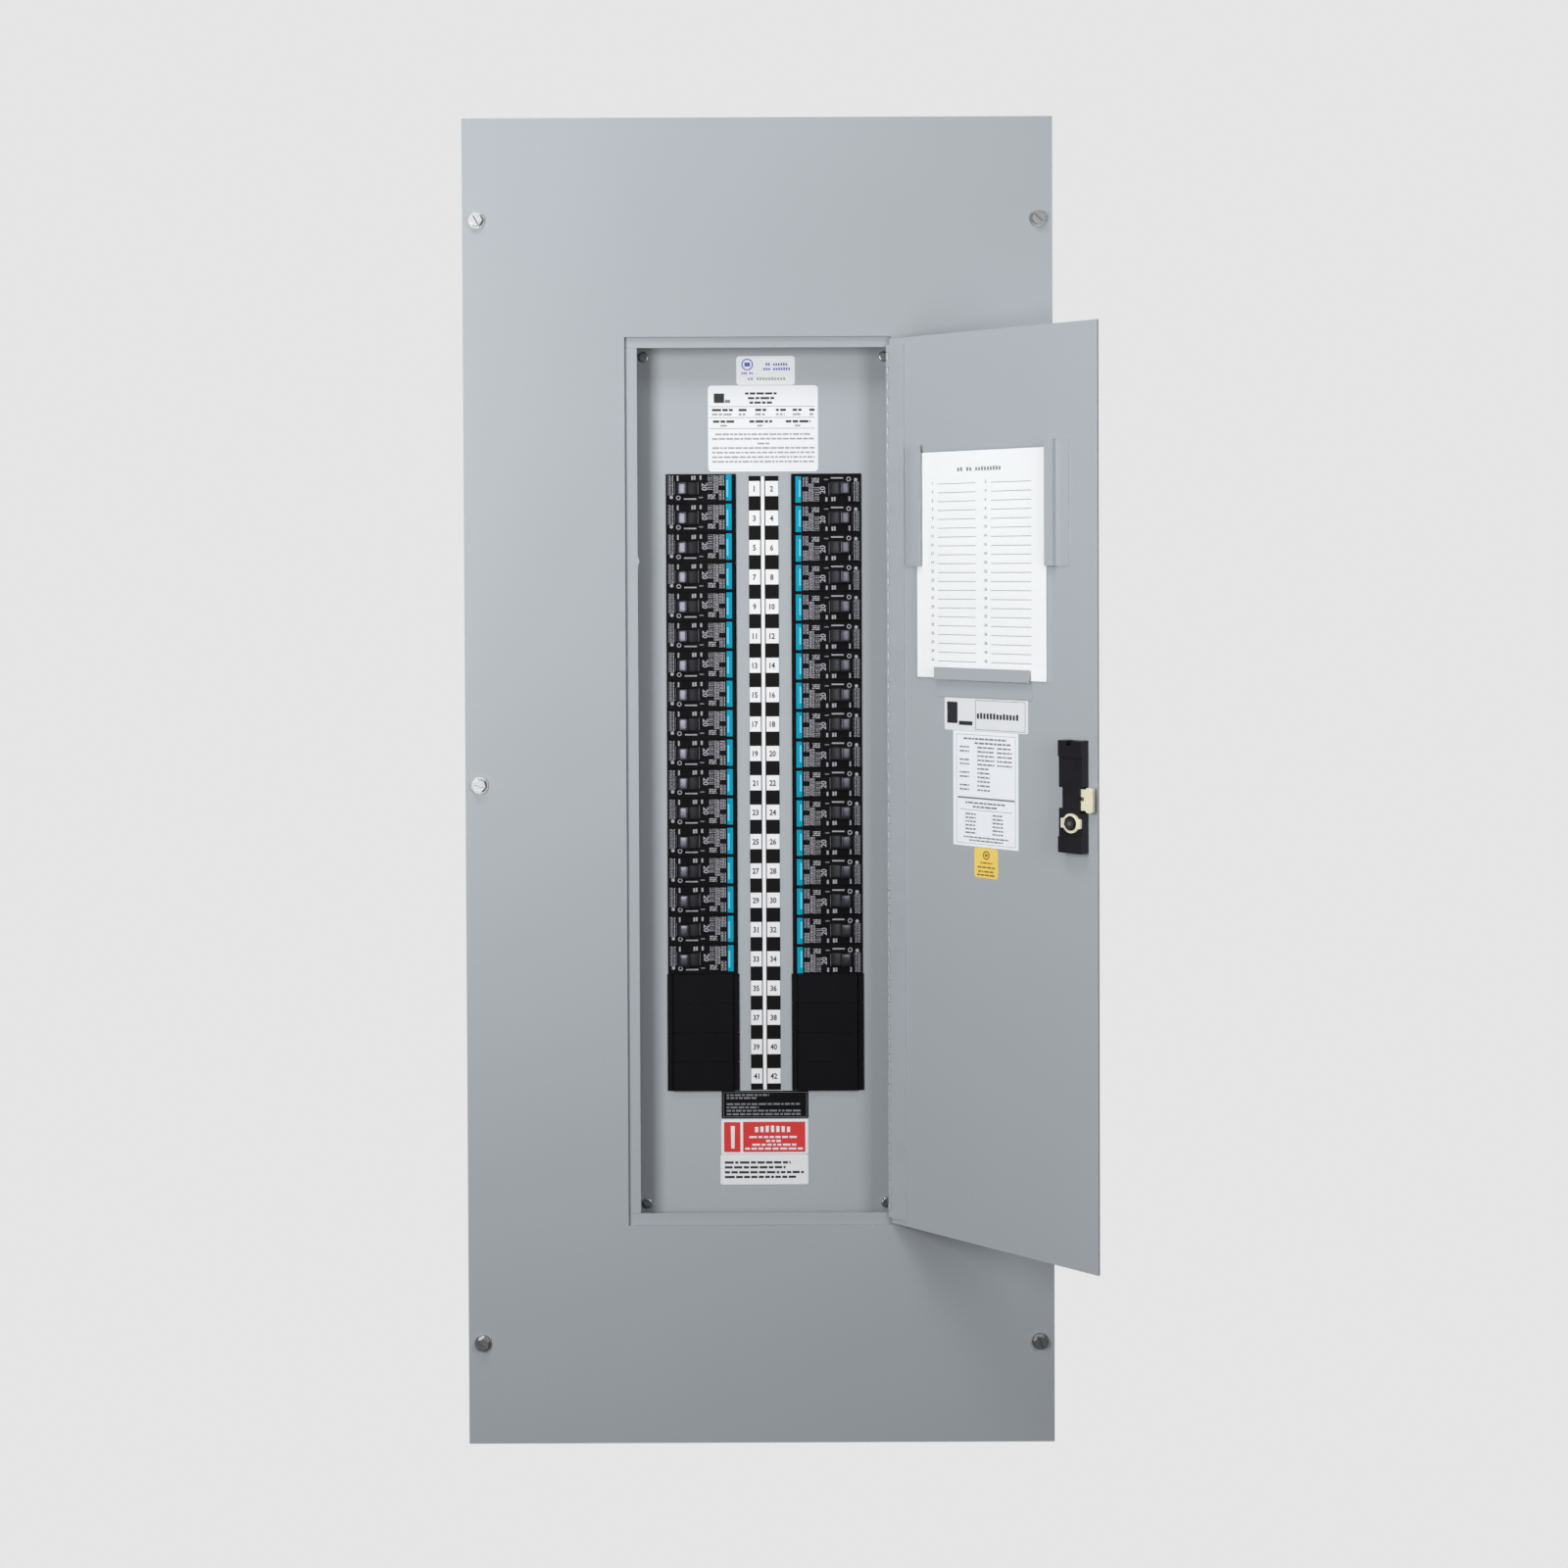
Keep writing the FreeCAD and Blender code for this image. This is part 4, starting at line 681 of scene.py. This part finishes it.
def build_bolt():
    """The cream bolt, forked behind its nose, with the stem and ribbed thumb pad outside the door."""
    bolt = Sheet(DOOR)
    low, high = BOLT_LAYER
    start, end = BOLT_ENDS
    fork = [(216.2, -8.8), (216.2, 8.0), (start, 8.0), (start, 1.8)]
    fork += [(213.4, 1.8), (213.4, -1.2), (start, -1.2), (start, -8.8)]
    bolt.shape(fork, "cream", (low, high - 0.35))
    bolt.shape(rounded(215.2, end, -10.4, 9.3, 1.5), "cream", (low + 0.02, high - 0.3))
    bolt.shape(rounded(215.7, end - 0.5, -9.9, 8.8, 1.2), "cream", (high - 0.35, high))
    bolt.shape(rounded(206.4, 210.6, -4.0, 4.0, 0.5), "cream", (-2.35, low + 0.1))
    bolt.shape(rounded(205.0, 211.6, -7.0, 7.0, 1.2), "cream", (-4.5, -2.3))
    for rib in range(5):
        middle = 208.3 + 1.25 * (rib - 2)
        bolt.shape(rounded(middle - 0.35, middle + 0.35, -5.8, 5.8, 0.3), "cream", (-4.8, -4.45))
    return bolt.piece("bolt_set", "bolt", "latch_cream")


# ------------------------------------------------------- breaker handles
# Each is a disc on an upright axis with a rounded grip standing out of it.

ROTOR_R = 12.0
GRIP_HALF = 4.0
ROTOR_STEPS = 44
GRIP_TILT = 14.0
GRIP_SIDE = ((11.31, 4.0), (15.0, 4.0), (15.75, 3.9), (16.15, 3.6), (16.3, 3.1), (16.37, 1.6))
SECTIONS = ((5.5, 0.9), (5.2, 0.5), (4.7, 0.25), (3.6, 0.1), (1.8, 0.02))


def handle_outline():
    """The handle seen from above, as (along the grip, across it)."""
    points = list(GRIP_SIDE) + [(16.4, 0.0)] + [(a, -b) for a, b in reversed(GRIP_SIDE)]
    first = math.degrees(math.asin(GRIP_HALF / ROTOR_R))
    for n in range(1, ROTOR_STEPS):
        turn = math.radians(-first - (360 - 2 * first) * n / ROTOR_STEPS)
        points.append((ROTOR_R * math.cos(turn), ROTOR_R * math.sin(turn)))
    return points


def build_handles():
    """One mesh, with a glossy grip and a duller barrel, placed at each of the 34 throws."""
    work = bmesh.new()
    tilt = math.radians(GRIP_TILT)
    along = Vector((-math.sin(tilt), -math.cos(tilt), 0))
    across = Vector((math.cos(tilt), -math.sin(tilt), 0))
    levels = [(-z, inset) for z, inset in SECTIONS] + [(z, inset) for z, inset in reversed(SECTIONS)]
    rings = []
    for z, inset in levels:
        ring = []
        for a, b in handle_outline():
            shrink = 1 - inset / math.hypot(a, b)
            spot = (along * a + across * b) * shrink + Vector((0, 0, z))
            ring.append(work.verts.new(spot * MM))
        rings.append(ring)
    grip_points = 2 * len(GRIP_SIDE) + 1
    for lower, upper in zip(rings, rings[1:]):
        for n in range(len(lower)):
            face = work.faces.new([lower[n - 1], lower[n], upper[n], upper[n - 1]])
            face.material_index = int(not 0 < n < grip_points)
    work.faces.new(rings[0][::-1])
    work.faces.new(rings[-1])
    bmesh.ops.recalc_face_normals(work, faces=work.faces)
    for face in work.faces:
        face.smooth = len(face.verts) == 4
    mesh = bpy.data.meshes.new("handle")
    work.to_mesh(mesh)
    work.free()
    mesh.materials.append(LOOKS["handle_black"])
    mesh.materials.append(LOOKS["barrel_black"])
    for number in range(1, 2 * BREAKER_ROWS + 1):
        joint = next(j for j in frame["joints"] if j["name"] == f"handle_{number:02d}_throw")
        side = (number + 1) % 2
        spot = Matrix.Translation(joint["pos_m"]) @ Matrix.Rotation(math.pi * side, 4, "Y")
        piece = place_piece(f"handle_{number:02d}", mesh, f"handle_{number:02d}", spot)
        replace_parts(piece, f"toggle_{number:02d}")


# ------------------------------------------------------ finishes of the CAD

CAD_LOOKS = {
    "enclosure_tub": "galvanised",
    "end_walls": "galvanised",
    "interior_pan": "pan_steel",
    "bus_insulators": "red_mould",
    "bus_bars": "copper",
    "branch_straps": "copper",
    "main_lugs": "aluminium",
    "neutral_bar": "aluminium",
    "ground_bar": "aluminium",
    "breaker_cases": "case_black",
    "filler_plates": "filler_black",
    "deadfront": "cover_paint_with_painted_light",
    "deadfront_screws": "zinc",
    "trim": "grey_paint",
    "trim_screws": "zinc",
    "door_stop_frame": "grey_paint",
    "hinge_trim_leaf": "hinge_steel",
    "hinge_pin": "zinc",
    "door_panel": "door_paint_with_painted_light",
    "hinge_door_leaf": "hinge_steel",
    "directory_holder": "door_paint_with_painted_light",
    "directory_card": "card",
    "card_window": "clear",
    "latch_housing": "latch_black",
    "latch_bolt": "cream",
    "lock_cylinder": "chrome",
}


def finish_cad_parts():
    for node, part in frame["nodes"].items():
        name = CAD_LOOKS.get(node, "handle_black")
        part.data.materials.clear()
        part.data.materials.append(LOOKS[name])


# ------------------------------------------------------------------- stage

BACKDROP = tone(229, 229, 229)
AMBIENT = 0.085
CAMERA_AT = (0.3, -2200.0, 185.1)
CAMERA_DOWN = 1.0
CAMERA_ROLL = -0.24
CAMERA_LENS = 55.41
CAMERA_SHIFT = (0.0159, -0.1124)


def build_world():
    """Pale all round. What the camera sees of it is plain, and what lights the panel is dimmer."""
    world = bpy.data.worlds.new("studio")
    bpy.context.scene.world = world
    world.use_nodes = True
    graph = Graph(world.node_tree)
    seen = graph.add("Background", {"Color": BACKDROP + [1.0], "Strength": 1.0}).outputs[0]
    felt = graph.add("Background", {"Color": (0.97, 0.985, 1.0, 1.0), "Strength": AMBIENT}).outputs[0]
    share = graph.add("LightPath").outputs["Is Camera Ray"]
    both = graph.add("MixShader", {0: share, 1: felt, 2: seen}).outputs[0]
    graph.add("OutputWorld", {"Surface": both})


def add_light(name, at, to, size, power):
    """A soft rectangular lamp at one point, facing another."""
    lamp = bpy.data.lights.new(name, "AREA")
    lamp.shape = "RECTANGLE"
    lamp.size, lamp.size_y = size
    lamp.energy = power
    holder = bpy.data.objects.new(name, lamp)
    holder.location = at
    holder.visible_camera = False
    holder.rotation_euler = (Vector(to) - Vector(at)).to_track_quat("-Z", "Y").to_euler()
    bpy.context.scene.collection.objects.link(holder)


# each lamp: where it is, where it faces, its size in metres and its power in watts
# the rear pair stand behind the panel and light its sides and back
LIGHTS = {
    "left": ((-0.80, -1.45, 0.26), (0.0, -0.1, 0.15), (0.5, 0.9), 14.8),
    "right": ((0.90, -1.50, 0.30), (0.0, -0.1, 0.2), (0.5, 0.9), 7.5),
    "above": ((-0.22, -0.85, 1.25), (0.0, -0.1, 0.0), (0.8, 0.4), 4.9),
    "rear left": ((-1.5, 1.0, 0.4), (0.0, 0.0, 0.0), (0.9, 1.2), 22.0),
    "rear right": ((1.5, 1.0, 0.4), (0.0, 0.0, 0.0), (0.9, 1.2), 22.0),
}


def build_lights():
    for name, (at, to, size, power) in LIGHTS.items():
        add_light(name, at, to, size, power)


FLOOR_Z = -1.4
FLOOR_HALF_WIDTH = 4
FLOOR_FRONT = -5
FLOOR_BACK = 1.3
FLOOR_GLOW = 0.85


def build_floor():
    """A pale floor, well below the panel, that throws no light back on it."""
    work = bmesh.new()
    outline = bar(-FLOOR_HALF_WIDTH, FLOOR_HALF_WIDTH, FLOOR_FRONT, FLOOR_BACK)
    work.faces.new([work.verts.new((x, y, FLOOR_Z)) for x, y in outline])
    mesh = bpy.data.meshes.new("floor")
    work.to_mesh(mesh)
    work.free()
    mesh.materials.append(look("floor", (0.70, 0.70, 0.70), 0.8, drift=0.01, patch=1.0, painted_glow=FLOOR_GLOW))
    floor = bpy.data.objects.new("floor", mesh)
    floor.visible_diffuse = False
    floor.visible_glossy = False
    bpy.context.scene.collection.objects.link(floor)


def build_camera():
    data = bpy.data.cameras.new("camera")
    data.lens = CAMERA_LENS
    data.sensor_width = 36.0
    data.shift_x, data.shift_y = CAMERA_SHIFT
    down, roll = math.radians(CAMERA_DOWN), math.radians(CAMERA_ROLL)
    forward = Vector((0, math.cos(down), -math.sin(down)))
    right = Vector((1, 0, 0))
    up = right.cross(forward)
    across = right * math.cos(roll) + up * math.sin(roll)
    upward = up * math.cos(roll) - right * math.sin(roll)
    camera = bpy.data.objects.new("camera", data)
    turn = Matrix((across, upward, -forward)).transposed().to_4x4()
    camera.matrix_world = Matrix.Translation(Vector(CAMERA_AT) * MM) @ turn
    bpy.context.scene.collection.objects.link(camera)
    bpy.context.scene.camera = camera


# ------------------------------------------------------------------- build

build_number_strip()
build_breaker_print()
build_listing_label()
build_rating_label()
build_black_label()
build_red_label()
build_note_label()
build_card_print()
build_door_label()
build_schedule_label()
build_yellow_label()
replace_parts(build_lock(), "lock_cylinder")
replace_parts(build_bolt(), "latch_bolt")
build_handles()
finish_cad_parts()
build_world()
build_lights()
build_floor()
build_camera()
bpy.context.scene.view_settings.view_transform = "Standard"
